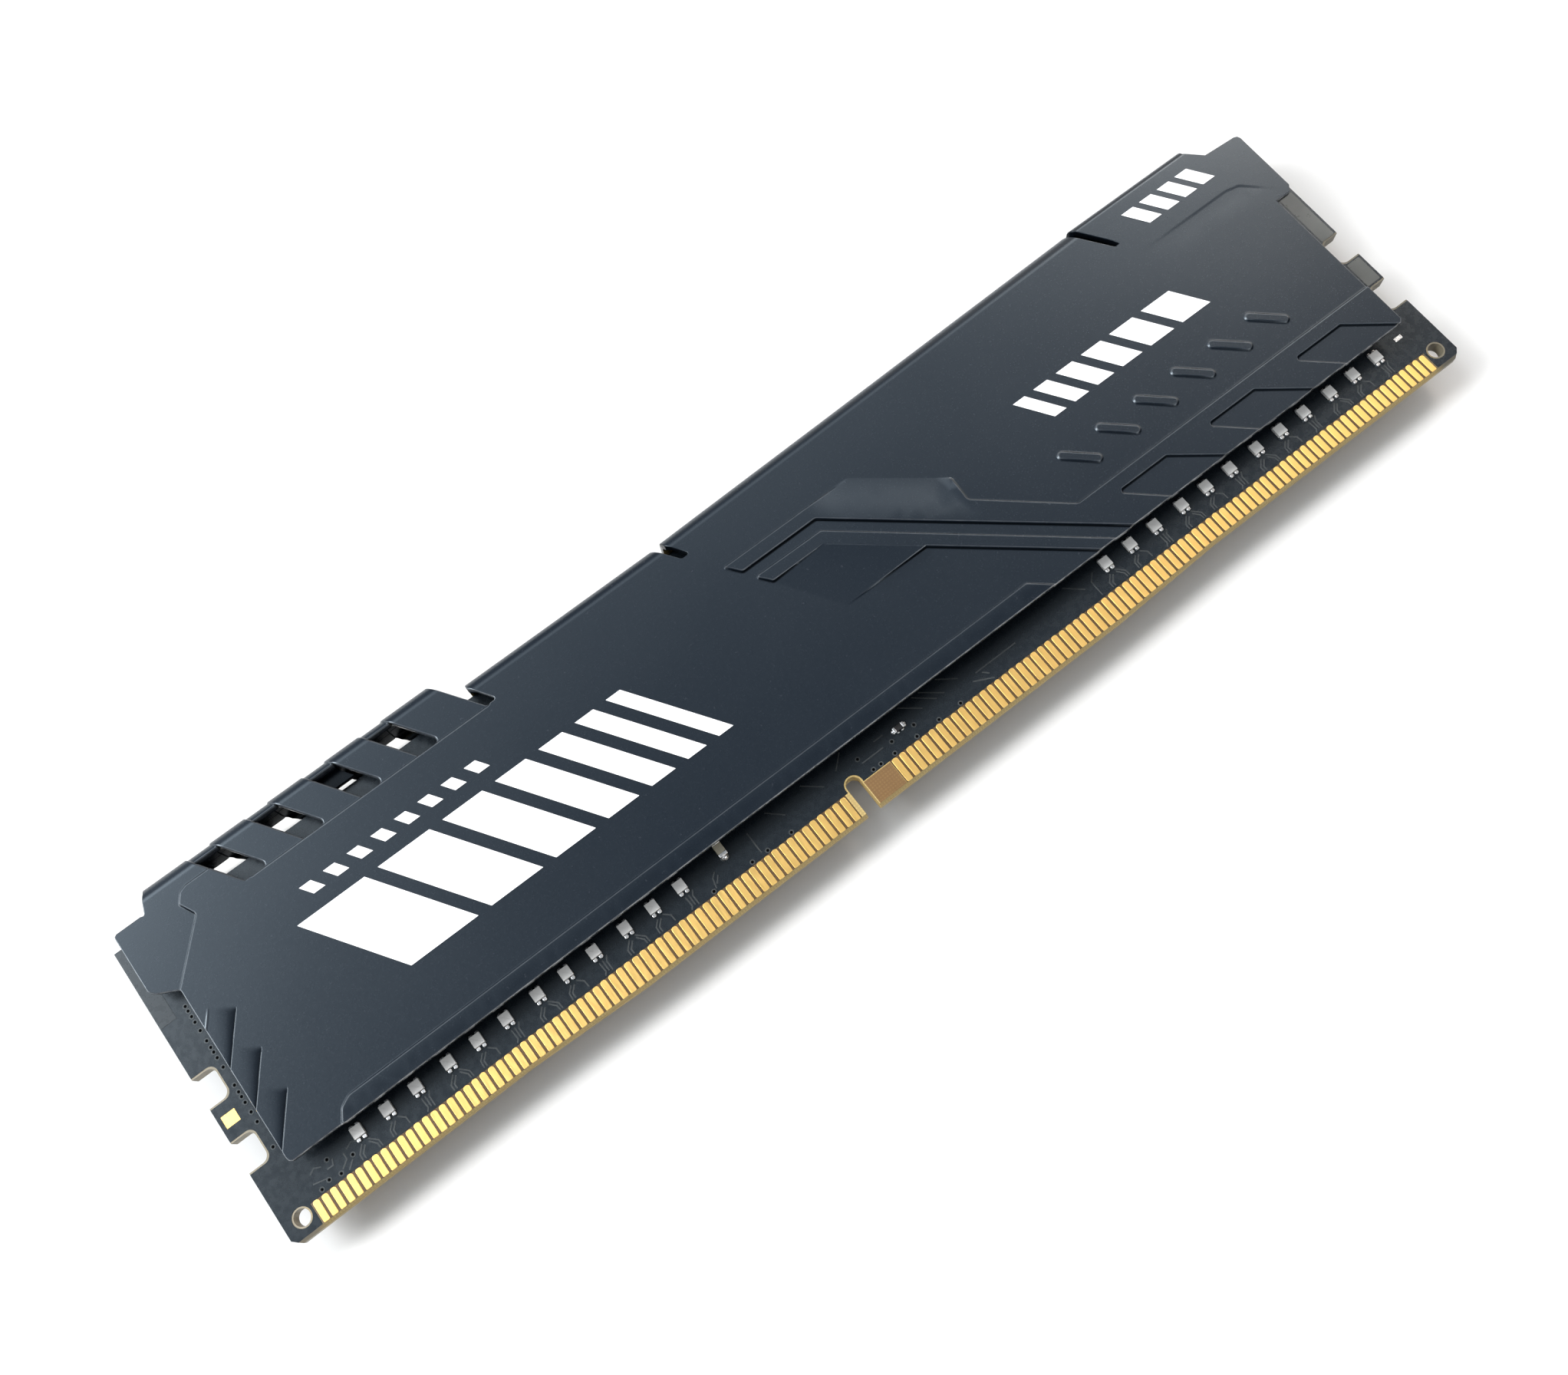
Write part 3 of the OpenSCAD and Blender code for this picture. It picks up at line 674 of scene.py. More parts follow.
LEFT_EDGE_U = 3.9
PLEAT_STARTS = (7.1, 11.3, 15.5)
PLEAT_ALONG = np.array([3.1, 4.15])
PLEAT_L = np.linalg.norm(PLEAT_ALONG)
PLEAT_ACROSS = np.array([-4.15, 3.1]) / PLEAT_L


def beside_pleats(points):
    """For each gill: share of the way along its line, and distance across it."""
    for start_v in PLEAT_STARTS:
        rel = points - np.array([LEFT_EDGE_U, start_v])
        yield rel @ PLEAT_ALONG / PLEAT_L**2, rel @ PLEAT_ACROSS


def pleats(points):
    """Three shallow gills beside the left edge; each one falls towards its line and steps back up."""
    depth = np.zeros(len(points))
    for t, q in beside_pleats(points):
        reach = 0.16 + 0.34 * np.clip(t, 0, 1)
        fall = np.where(q < 0.04, smooth(q / 0.04), np.exp(-(np.maximum(q, 0.04) - 0.04) / reach))
        fade = smooth((1.03 - t) / 0.1) * smooth((2.6 - q) / 1.5)
        depth = np.maximum(depth, fall * fade * (q > 0) * (0.08 + 0.1 * np.clip(t, 0, 1)))
    return depth


def pleat_shade(points):
    """Painted shade in each gill: a thin dark line at its low end, widening towards its high end."""
    shade = np.zeros(len(points))
    for t, q in beside_pleats(points):
        width = 0.12 + 0.4 * np.clip((t - 0.15) / 0.7, 0, 1)
        inside = np.exp(-((np.maximum(q - 0.03, 0) / width) ** 2)) * (q > -0.005) * (q < 2.5)
        strength = (0.66 - 0.24 * np.clip(t, 0, 1)) * smooth((1.03 - t) / 0.1) * (t > -0.2)
        shade = np.maximum(shade, strength * inside)
    return shade


RIDGE_FOOT, RIDGE_L = np.array([LEFT_EDGE_U, 19.65]), 1.95


def ridge(points):
    """Faint raised crease that starts at the left edge above the third gill."""
    rel = points - RIDGE_FOOT
    t, q = rel @ PLEAT_ALONG / PLEAT_L / RIDGE_L, rel @ PLEAT_ACROSS
    return np.exp(-((q / 0.07) ** 2)) * smooth((1.0 - t) / 0.4) * smooth((t + 0.2) / 0.2)


def relief(points):
    """Height of the flat sheet's outer face above the main level."""
    u, v = points[:, 0], points[:, 1]
    h = -EMBOSS * stepped(points, LOW_AREA)
    strip_h = EMBOSS - 0.12 * smooth((7.2 - v) / 1.4)
    h = h + strip_h * stepped(points, STRIP)
    to_line = ((78.5 - u) * 6.0 + (26.0 - v) * 7.5) / math.hypot(6.0, 7.5)
    soft = 0.5 * smooth(to_line / 4.2) + 0.5 * np.clip(to_line / 4.2, 0, 1)
    soft = soft + (1 - soft) * smooth((u - 84.8) / 1.2) * smooth((20.3 - v) / 1.2)
    soft = soft + (1 - soft) * smooth((76.0 - u) / 3.0)
    sunken = np.zeros(len(points))
    for panel in PANELS:
        sunken = np.maximum(sunken, stepped(points, panel, PANEL_HALF))
    h = h + EMBOSS * stepped(points, OUTER_BAND) * soft * (1 - 0.8 * sunken)
    left, right = 66.6 + (22.3 - v) * 0.64, 72.6 + (22.05 - v) * 1.2012
    climb = EMBOSS * np.clip((u - left) / (right - left), 0, 1)
    h = h + np.maximum(EMBOSS * stepped(points, INNER_BAND), climb * stepped(points, RAMP, RAMP_HALF))
    for shape in PILLS:
        h = h + PILL_H * stepped(points, shape, PILL_HALF)
    h = h - pleats(points) + 0.02 * ridge(points)
    for bar in BARS:
        h = h - BAR_DROP * stepped(points, bar, BAR_HALF)
    below_shoulder = 1 - stepped(points, SHOULDER_STEP, SHOULDER_HALF)
    h = h - 0.015 * below_shoulder * smooth((u - 115.0) / 8.0) * smooth((v - 24.4) / 2.0)
    wave = np.sin(u * 0.21 + 0.6) * np.sin(v * 0.33 + 0.2) + np.sin(u * 0.083 + v * 0.19)
    return h - 0.006 * (wave + 2)


def feature_lines():
    """Lines that the mesh has to follow so that each step stays crisp."""
    loops, lines = [], []
    shares = (-1.8, -1.0, -0.5, 0.0, 0.5, 1.0, 1.8)
    groups = [([LOW_AREA, STRIP, OUTER_BAND, INNER_BAND], STEP_HALF), ([RAMP], RAMP_HALF)]
    groups += [([SHOULDER_STEP], SHOULDER_HALF), (BARS, BAR_HALF), (PANELS, PANEL_HALF), (PILLS, PILL_HALF)]
    for shapes, half in groups:
        loops += [shape - outward(shape) * half * x for shape in shapes for x in shares]
    for start_v in PLEAT_STARTS:
        base = np.array([LEFT_EDGE_U, start_v])
        for q in (-0.3, -0.05, 0.0, 0.02, 0.04, 0.12, 0.25, 0.4, 0.6, 0.85, 1.2, 1.8, 2.6):
            stops = (-0.15, 0.0, 0.25, 0.5, 0.75, 0.92, 0.95, 0.98, 1.01, 1.03, 1.06)
            lines.append([base + PLEAT_ALONG * t + PLEAT_ACROSS * q for t in stops])
    for q in (-0.2, -0.1, -0.05, 0.0, 0.05, 0.1, 0.2):
        stops = np.array([-0.2, 0.0, 0.3, 0.6, 0.8, 1.0, 1.1]) * RIDGE_L / PLEAT_L
        lines.append([RIDGE_FOOT + PLEAT_ALONG * t + PLEAT_ACROSS * q for t in stops])
    for k, (left, right) in enumerate([(3.0, 38.3), (38.3, 60.4), (60.3, 111.6), (111.3, 127.6)]):
        r = STRETCH_R[k]
        bends = 10 if r > 1 else 7
        for i in range(bends + 1):
            offset = -r + r * math.pi / 2 * i / bends
            lines.append([(u, top_v(k, u) + offset) for u in (left, right)])
    return loops, lines


def sheet_mesh(holes):
    """Triangulated flat sheet that follows every feature line."""
    points, edges = [], []

    def add_line(line, closed, longest=1.3):
        line = [np.asarray(p, float) for p in line]
        ends = line[1:] + line[:1] if closed else line[1:]
        dense = []
        for a, b in zip(line, ends):
            pieces = max(1, math.ceil(np.linalg.norm(b - a) / longest))
            dense += [a + (b - a) * i / pieces for i in range(pieces)]
        dense += [] if closed else line[-1:]
        start, count = len(points), len(dense)
        points.extend(Vector((float(x), float(y))) for x, y in dense)
        edges.extend((start + i, start + (i + 1) % count) for i in range(count if closed else count - 1))

    angles = np.radians([0, 30, 60, 90])
    for loop, inset in [(OUTLINE, -EDGE_R)] + [(hole, HOLE_R) for hole in holes]:
        for angle in angles:
            add_line(loop + outward(loop) * inset * (1 - math.cos(angle)), True)
    loops, lines = feature_lines()
    for loop in loops:
        add_line(loop, True)
    for line in lines:
        add_line(line, False)
    for x in np.arange(2.0, 132.0, 1.6):
        for y in np.arange(6.6, 33.0, 1.6):
            points.append(Vector((x + 0.37 * math.sin(y * 7), y + 0.31 * math.sin(x * 5))))
    found = delaunay_2d_cdt(points, edges, [], 0, 1e-5)
    flat = np.array([(p.x, p.y) for p in found[0]])
    tris = np.array([f for f in found[2] if len(f) == 3])
    middle = flat[tris].mean(axis=1)
    tris = tris[np.minimum(*gaps(middle, holes)) > 0]
    used = np.unique(tris)
    index = np.full(len(flat), -1)
    index[used] = np.arange(len(used))
    flat, tris = flat[used], index[tris]
    a, b, c = flat[tris].transpose(1, 2, 0)
    ab, ac = b - a, c - a
    backward = ab[0] * ac[1] - ab[1] * ac[0] < 0
    tris[backward] = tris[backward][:, ::-1]
    return flat, tris


def border_edges(tris):
    """Directed edges that only one triangle uses."""
    sides = np.vstack([tris[:, pair] for pair in ([0, 1], [1, 2], [2, 0])])
    known = {tuple(e) for e in sides.tolist()}
    return [e for e in known if (e[1], e[0]) not in known]


SLOT_US = ((60.0, 62.4), (110.9, 114.8))
PROBE = np.array([0.024, 0.118])  # how far up the sheet a step is looked for
LEAST_STEP, FULL_STEP, FULL_CURVE = 0.01, 0.16, 30.0


def spreader(holes):
    """Bent, embossed sheet with the given windows, as the rear spreader.

    The rim numbers paint thin highlight lines along raised edges and along borders, which are also worn, and
    painted shade at the foot of steps, in the gills, on the top edges and in the slots.
    """
    flat, tris = sheet_mesh(holes)
    u, s = flat[:, 0], flat[:, 1]
    k = stretch_of(u, s)
    step = 0.01

    # How far each point is into a rounded edge (0 to 1), and how far that edge drops there
    to_outline, to_window = gaps(flat, holes)
    near, drop = np.zeros(len(flat)), np.zeros(len(flat))
    for gap, r in ((to_outline, EDGE_R), (to_window, HOLE_R)):
        into = np.clip(1 - np.where(np.abs(gap) < 1e-4, 0, gap) / r, 0, 1)
        near = np.maximum(near, into)
        drop = np.maximum(drop, r * (1 - np.sqrt(1 - into**2)))

    shifts = np.array([(step, 0), (-step, 0), (0, step), (0, -step)])
    moved = [flat + shift for shift in shifts]
    heights = [relief(m) for m in moved]
    distances = [np.minimum(*gaps(m, holes)) for m in moved]
    height = relief(flat)

    def surface_normals(offset):
        """Normals, and the two directions in the surface, of a face at some offset from the outer one."""
        ends = [folded(m[:, 0], m[:, 1], h + offset, k) for m, h in zip(moved, heights)]
        along, up = ends[0] - ends[1], ends[2] - ends[3]
        return unit(np.cross(along, up)), unit(along), unit(up)

    normal, along, up = surface_normals(0.0)
    inner_normal = surface_normals(-SHEET_T)[0]
    away_u = -(distances[0] - distances[1]) / (2 * step)
    away_s = -(distances[2] - distances[3]) / (2 * step)
    away = along * away_u[:, None] + up * away_s[:, None]
    away /= np.maximum(np.linalg.norm(away, axis=1), 1e-6)[:, None]
    blended = unit(normal * np.sqrt(1 - near**2)[:, None] + away * near[:, None])

    outer = folded(u, s, height - drop, k)
    inner = folded(u, s, height - SHEET_T, k)
    plain = [h + pleats(m) for h, m in zip([height, *heights], [flat, *moved])]
    crest = np.clip((4 * plain[0] - sum(plain[1:])) / step**2 / FULL_CURVE, 0, 1)
    above, below = flat + PROBE, flat - PROBE
    # Painted shade at the foot of each step where the sheet rises just above, below s = 30
    foot = np.clip((relief(above) + pleats(above) - plain[0] - LEAST_STEP) / FULL_STEP, 0, 1) * (s < 30.0)
    brow = np.clip((plain[0] - relief(below) - pleats(below) - LEAST_STEP) / FULL_STEP, 0, 1)
    slope_u, slope_v = heights[0] - heights[1], heights[2] - heights[3]
    level_edge = (slope_v**2 / (slope_u**2 + slope_v**2 + 1e-9)) ** 2
    below_windows = (np.abs(s - 28.7) < 0.25) & (u > 13.9) & (u < 39.5)
    # Painted highlights: thin light lines along the crests of raised steps, stronger along level edges, under the
    # windows and along the ridge
    light = crest * (0.42 + 0.55 * brow * level_edge + 0.4 * below_windows)
    light = np.maximum(light, 0.3 * ridge(flat))
    # Edges of the sheet: worn bare metal, partly painted highlight; strongest along the bottom edge, weaker along
    # the windows
    border = near**0.5 * np.where(s < 6.4, 1.0, np.where(to_window < to_outline - 1e-9, 0.33, 0.78))
    # Painted shade: dark lines at the foot of steps and in the gills, and dark rounded edges along the top edges and
    # in the slots
    shade = np.maximum(foot, pleat_shade(flat)) * (near < 0.05)
    top_edge = (away_s > 0.7) & (s > 30.5) & (to_outline < to_window)
    in_slot = np.any([(u > a) & (u < b) for a, b in SLOT_US], axis=0) & (s > 29.0) & (near > 0) & ~top_edge
    border = np.where(top_edge | in_slot, 0, border)
    shade = np.where(top_edge, 0.6 * near, np.where(in_slot, 0.8 * near, shade))
    b = Builder()
    first = b.add(outer, np.maximum(border, light) * (1 - shade) ** 2 - shade)
    # The inner face also gets painted shade along the slots
    second = b.add(inner, np.where(in_slot, -0.8 * near, 0.0))
    for t in tris:
        b.face([first + i for i in t], blended[t])
    for t in tris:
        b.face([second + i for i in t[::-1]], -inner_normal[t[::-1]])
    for i, j in border_edges(tris):
        b.face((first + j, first + i, second + i, second + j), (away[j], away[i], away[i], away[j]))
    return b


def locking_tab(b):
    """Tab of the front sheet that stands inside the third window and bends back at its top."""
    low_v, bend_v, tab_l, face_w, root_w, bend_r = 31.45, 32.85, 2.35, 0.95, -2.3, 0.6
    turns = np.radians([0, 22, 45, 68, 90])
    outer = [(low_v, face_w), (bend_v, face_w)]
    outer += [(bend_v + bend_r * math.sin(t), face_w - bend_r + bend_r * math.cos(t)) for t in turns[1:]]
    outer.append((bend_v + bend_r, root_w))
    tilts = [0.0, 0.0, *turns[1:], 0.5 * math.pi]
    inner = [(low_v, face_w - bend_r)] + [(bend_v, face_w - bend_r)] * 5 + [(bend_v, root_w)]

    def ring(profile, end, rims):
        low_u = 23.59
        return b.add([(low_u - LEAN * (v - low_v) + end * tab_l, v, w) for v, w in profile], rims)

    # Rim numbers for each profile point: painted shade on the tab's flat face, painted highlights around its bend
    face_shade_and_highlight, back_rims = (-0.8, -0.7, 0.3, 0.55, 0.45, 0.2, 0.0), (0.0,) * len(inner)
    outer_l, outer_r = ring(outer, 0, face_shade_and_highlight), ring(outer, 1, face_shade_and_highlight)
    inner_l, inner_r = ring(inner, 0, back_rims), ring(inner, 1, back_rims)
    left = (-1.0, -LEAN, 0.0)
    right = (1.0, LEAN, 0.0)
    for i in range(len(outer) - 1):
        n, m = [(0.0, math.sin(t), math.cos(t)) for t in (tilts[i], tilts[i + 1])]
        b.face((outer_l + i, outer_r + i, outer_r + i + 1, outer_l + i + 1), (n, n, m, m))
        if inner[i] != inner[i + 1]:
            down = (0.0, 0.0, -1.0) if i == 0 else (0.0, -1.0, 0.0)
            b.face((inner_l + i + 1, inner_r + i + 1, inner_r + i, inner_l + i), (down,) * 4)
        side_l = [outer_l + i, outer_l + i + 1, inner_l + i + 1, inner_l + i]
        side_r = [inner_r + i, inner_r + i + 1, outer_r + i + 1, outer_r + i]
        if inner[i] == inner[i + 1]:
            side_l, side_r = side_l[:3], side_r[1:]
        b.face(side_l, (left,) * len(side_l))
        b.face(side_r, (right,) * len(side_r))
    end = len(outer) - 1
    b.face((outer_l, inner_l, inner_r, outer_r), ((0.0, -1.0, 0.0),) * 4)
    b.face((outer_l + end, outer_r + end, inner_r + end, inner_l + end), ((0.0, 0.0, -1.0),) * 4)


# --- build the spreaders

rear_sheet = spreader(REAR_WINDOWS)
rear_sheet.make("heat_spreader_rear", METAL, "spreader_metal", ["rear_spreader"])
front_sheet = spreader(FRONT_WINDOWS).on_front()
locking_tab(front_sheet)
front_sheet.make("heat_spreader_front", METAL, "spreader_metal", ["front_spreader"])

# --- contacts and small components

STEP_US = (24.0, 36.0, 90.0, 102.0)
PITCH = 0.85
CONTACT_W = 0.6
CONTACT_TOP = 2.75
BEVEL_H = 0.25
CONTACT_GROUPS = {"left": (3.35, 67), "right": (65.4, 77)}
CHIP_MIDS = (26.3, 109.5)


def edge_v(u):
    """Height of the board's lowest edge."""
    return float(np.interp(u, STEP_US, [0.5, 0.0, 0.0, 0.5]))


def contacts(group):
    """Bevelled copper lands with round upper ends."""
    start, count = CONTACT_GROUPS[group]
    b = Builder()
    jitter = np.random.default_rng(5 if group == "left" else 6)
    for i in range(count):
        u, half_w = start + PITCH * i, CONTACT_W / 2 + jitter.uniform(-0.012, 0.012)
        low = edge_v(u) + BEVEL_H
        top = CONTACT_TOP + jitter.uniform(-0.05, 0.03)
        corners = [(u - half_w, low), (u + half_w, low), (u + half_w, top), (u - half_w, top)]
        plate(b, rounded(corners, [0.08, 0.08, 0.24, 0.24]), 0.0, 0.035, 0.028)
    return b


def shaded_gap_resin(group):
    """Bare resin between the lands, darkened well below the bare patch's colour as painted shade between them."""
    start, count = CONTACT_GROUPS[group]
    first, last = start - 0.42, start + PITCH * (count - 1) + 0.42
    stops = [u for u in STEP_US if first < u < last]
    lower = [(u, edge_v(u) + BEVEL_H) for u in [first, *stops, last]]
    top = CONTACT_TOP + 0.02
    b = Builder()
    plate(b, [*lower, (last, top), (first, top)], 0.0, 0.006, 0.003, 1)
    return b


def make_both(b, name, finish, slot, node=None):
    """Makes the piece on the rear face, and mirrored on the front face; {} stands for the face."""
    for face, half in (("rear", b), ("front", b.on_front())):
        half.make(name.format(face), finish, slot, [node.format(face)] if node else ())


for group in CONTACT_GROUPS:
    land_names = "contacts_{}_" + group, "edge_contacts_{}_" + group
    make_both(contacts(group), land_names[0], GOLD, "contact_gold", land_names[1])
    make_both(shaded_gap_resin(group), "resin_{}_" + group, SHADED_GAP, "laminate")
bare = Builder()
plate(bare, [(61.95, BEVEL_H), (64.95, BEVEL_H), (64.95, 2.66), (61.95, 2.66)], 0.0, 0.008, 0.004, 1)
bare.make("bare_patch_rear", BARE, "laminate")


def slab(b, u, v, half_u, half_v, base, top, edge, corner=0.08):
    """Low block about (u, v) with round corners."""
    corners = [(u + x * half_u, v + y * half_v) for x, y in ((-1, -1), (1, -1), (1, 1), (-1, 1))]
    plate(b, rounded(corners, corner, 3), base, top, edge)


ARRAY_V = 5.16
LANES = (-1.5, -0.5, 0.5, 1.5)
ARRAY_US = [mid + 9.35 * lane + 3.0 * place for mid in CHIP_MIDS for lane in LANES for place in (-1, 0, 1)]
bodies, beads = Builder(), Builder()
for u, v in [(u, ARRAY_V) for u in ARRAY_US]:
    slab(bodies, u, v + 0.07, 0.53, 0.52, 0.06, 0.41, 0.03, 0.02)
    for side in (-0.3, 0.3):
        for end in (-1, 1):
            slab(beads, u + side, v + end * 0.64, 0.19, 0.17, 0.03, 0.24 if end < 0 else 0.16, 0.07, 0.09)
make_both(bodies, "arrays_{}_bodies", ARRAY, "array_ceramic", "resistor_array_bodies_{}")
make_both(beads, "arrays_{}_terminals", SOLDER, "solder", "resistor_array_terminals_{}")


def chip_part(body, ends, u, v, size, upright=False):
    """Two-ended chip component with solder fillets."""
    length, width, height = size
    cap, half_w = 0.22 * length, width / 2

    def turned(along, across):
        return (across, along) if upright else (along, across)

    def lay(b, offset, half_l, half_across, top, edge):
        du, dv = turned(offset, 0)
        slab(b, u + du, v + dv, *turned(half_l, half_across), 0.03, top, edge, 0.05)

    lay(body, 0, length / 2 - cap + 0.02, half_w - 0.015, height + 0.01, 0.03)
    for end in (-1, 1):
        lay(ends, end * (length / 2 - cap / 2), cap / 2, half_w, height + 0.03, 0.06)
        du, dv = turned(end * (length / 2 + 0.02), 0)
        dome(ends, u + du, v + dv, *turned(0.3 * height + 0.12, half_w * 1.08), 0.03, 0.62 * height, 14)


CHIP_CENTRES = [mid + 10.4 * lane for mid in CHIP_MIDS for lane in LANES]
SMALL_CAPS = [(u + side * 7.5 / 4, v) for u in CHIP_CENTRES for side in (-1, 1) for v in (9.3, 24.8)]
cap_bodies, cap_ends = Builder(), Builder()
for u, v in SMALL_CAPS:
    chip_part(cap_bodies, cap_ends, u, v, (1.0, 0.5, 0.5))
front_bodies, front_ends = cap_bodies.on_front(), cap_ends.on_front()
front_bodies.make("capacitors_front_bodies", CAPACITOR, "capacitor_ceramic", ["capacitor_bodies_front"])
front_ends.make("capacitors_front_ends", SOLDER, "solder", ["capacitor_terminals_front"])
chip_part(cap_bodies, cap_ends, 48.05, 5.7, (1.6, 0.85, 0.8), True)
cap_bodies.make("capacitors_rear_bodies", CAPACITOR, "capacitor_ceramic", ["capacitor_bodies_rear"])
cap_ends.make("capacitors_rear_ends", SOLDER, "solder", ["capacitor_terminals_rear"])
resistor_body, resistor_ends = Builder(), Builder()
chip_part(resistor_body, resistor_ends, 67.52, 4.68, (1.2, 0.55, 0.35))
for side in (-1, 1):
    dome(resistor_ends, 67.5 + side * 0.24, 4.34, 0.17, 0.1, 0.03, 0.12)
resistor_body.make("resistor_body", MOULD, "chip_mould", ["chip_resistor_body"])
resistor_ends.make("resistor_ends", SOLDER, "solder", ["chip_resistor_terminals"])

# --- tracks and vias under the mask

MASK_TOP = 0.03
TRACK_SIZE = (MASK_TOP, 0.014, 0.01)  # base, height, rounding
TRACK_PATTERNS = [
    [[(-0.3, 4.15), (-0.9, 3.5), (-0.9, 2.95)], [(-0.1, 3.95), (-0.6, 3.4), (-0.6, 2.95)],
     [(0.35, 4.25), (1.05, 3.55), (1.1, 2.95)], [(0.3, 4.0), (0.8, 3.4), (0.85, 2.95)]],
    [[(-0.25, 4.1), (-0.75, 3.6), (-0.8, 2.95)], [(0.05, 4.0), (-0.5, 3.45), (-0.5, 2.95)],
     [(0.35, 4.2), (0.9, 3.7), (0.95, 3.05)]],
    [[(-0.2, 4.15), (-0.12, 3.2), (-0.35, 2.9)], [(0.15, 4.15), (0.15, 3.1)],
     [(0.72, 4.35), (0.45, 3.9), (0.45, 2.95)]],
]
tracks, pours, edge_pours_sheen, rings, holes = (Builder() for _ in range(5))
for i, u in enumerate(ARRAY_US):
    for line in TRACK_PATTERNS[i % 3]:
        ribbon(tracks, [(u + du, v) for du, v in line], 0.13, *TRACK_SIZE)
LOOSE_TRACKS = [
    [(62.9, 4.1), (65.3, 4.1)], [(76.3, 4.4), (81.0, 4.4)], [(45.8, 3.1), (46.05, 4.0), (46.5, 4.4)],
    [(46.1, 3.4), (46.6, 4.0)], [(50.85, 3.2), (50.85, 5.4)], [(53.2, 5.9), (54.6, 4.6)],
    [(57.2, 5.9), (58.9, 4.5)], [(60.6, 5.0), (61.9, 6.2)], [(68.6, 6.2), (70.4, 4.8)],
    [(70.2, 6.2), (72.0, 4.7)], [(71.0, 6.2), (72.9, 4.7)], [(73.0, 6.2), (74.7, 5.0)],
    [(75.6, 3.9), (77.4, 3.0)], [(76.8, 4.1), (77.3, 3.6)], [(64.9, 5.05), (66.0, 5.05)],
    [(90.3, 3.0), (90.3, 4.6), (91.0, 5.3)], [(87.8, 5.8), (89.4, 4.4)], [(4.1, 4.7), (4.6, 5.0), (5.2, 4.7)],
    [(5.5, 4.2), (6.1, 4.2), (6.3, 4.7)], [(6.6, 3.4), (7.3, 3.9), (7.3, 4.5)],
    [(7.7, 4.6), (8.3, 4.9), (8.8, 4.6)], [(3.9, 3.9), (5.1, 3.6)], [(7.0, 3.0), (7.7, 3.6)],
]
for line in LOOSE_TRACKS:
    ribbon(tracks, line, 0.12, *TRACK_SIZE)
slab(pours, 0.86, 27.1, 0.8, 4.1, MASK_TOP, MASK_TOP + 0.018, 0.015, 0.05)
# Right end strips: mask over copper, their lightness a painted reflection
slab(edge_pours_sheen, 132.3, 20.8, 0.8, 3.1, MASK_TOP, MASK_TOP + 0.016, 0.015, 0.15)
slab(edge_pours_sheen, 132.3, 12.8, 0.8, 1.5, MASK_TOP, MASK_TOP + 0.016, 0.015, 0.15)
VIAS = [(2.78, v) for v in (23.4, 22.9, 22.3, 21.7, 20.8, 19.7, 19.0, 18.5, 17.9, 16.9)]
VIAS += [(2.78, v) for v in (15.0, 14.3, 13.8, 13.2, 12.2, 11.2, 8.6)]
VIAS += [(u, 3.02) for u in (45.45, 49.7, 51.4, 54.05, 63.35, 64.2, 65.8, 68.35, 70.9, 73.4)]
VIAS += [(62.8, 4.65), (66.25, 4.05), (68.8, 4.05), (4.3, 3.1), (5.2, 3.4), (6.3, 3.2), (5.9, 4.9), (7.9, 3.9)]
VIAS += [(130.6, v) for v in (8.3, 9.1, 12.3, 13.1, 18.2, 19.4, 20.9, 22.2)]


def disc(b, u, v, radius, base, top, edge, sides=14):
    """Low round plate."""
    angles = np.linspace(0, 2 * math.pi, sides, endpoint=False)
    outline = np.stack([u + radius * np.cos(angles), v + radius * np.sin(angles)], axis=1)
    plate(b, outline, base, top, edge, 2)


# Each via: a copper ring under the mask and a near-black disc of painted shade over its hole
for u, v in VIAS:
    disc(rings, u, v, 0.25, MASK_TOP, MASK_TOP + 0.022, 0.01)
    disc(holes, u, v, 0.14, MASK_TOP + 0.01, MASK_TOP + 0.026, 0.002)
tracks.make("masked_tracks_rear", TRACK, "solder_mask")
pours.make("copper_pours_rear", POUR, "solder_mask")
edge_pours_sheen.make("copper_pours_rear_right_sheen", EDGE_POUR_SHEEN, "solder_mask")
rings.make("via_rings_rear", TRACK, "solder_mask")
holes.make("via_holes_rear", VIA_HOLE_SHADE, "solder_mask")

# --- scene

NODE_MATERIALS = [
    (LAMINATE, ["pcb_core"]),
    (MASK, ["solder_mask_rear", "solder_mask_front"]),
    (GOLD, ["ground_pad_rear"]),
    (SOLDER, ["tinned_pad_rear", "spd_solder_lands", "dram_solder_balls_left", "dram_solder_balls_right"]),
    (MOULD, ["spd_eeprom"] + [f"dram_chip_{i}" for i in range(1, 9)]),
    (THERMAL, ["thermal_pad_front_left", "thermal_pad_front_right"]),
    (FOAM, ["foam_pad_rear_left", "foam_pad_rear_right"]),
    (INK, ["printed_marks_rear", "printed_marks_front"]),
]
for finish, names in NODE_MATERIALS:
    for name in names:
        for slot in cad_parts[name].material_slots:
            slot.material = finish

FLOOR_SIZE = 1.6
floor_mesh = bpy.data.meshes.new("floor")
half = FLOOR_SIZE / 2
corners = [(-half, -half, 0), (half, -half, 0), (half, half, 0), (-half, half, 0)]
floor_mesh.from_pydata(corners, [], [(0, 1, 2, 3)])
floor = bpy.data.objects.new("floor", floor_mesh)
bpy.context.scene.collection.objects.link(floor)
paper, paper_tree, paper_shader = material("floor_paper")
paper_cloud = noise(paper_tree, coordinates(paper_tree), 0.02, 2.0)
paper_tone = mixed(paper_tree, paper_cloud, (0.68, 0.68, 0.67), (0.7, 0.7, 0.69))
link(paper_tree, paper_tone, paper_shader, "Base Color")
paper_shader.inputs["Roughness"].default_value = 0.9
floor_mesh.materials.append(paper)


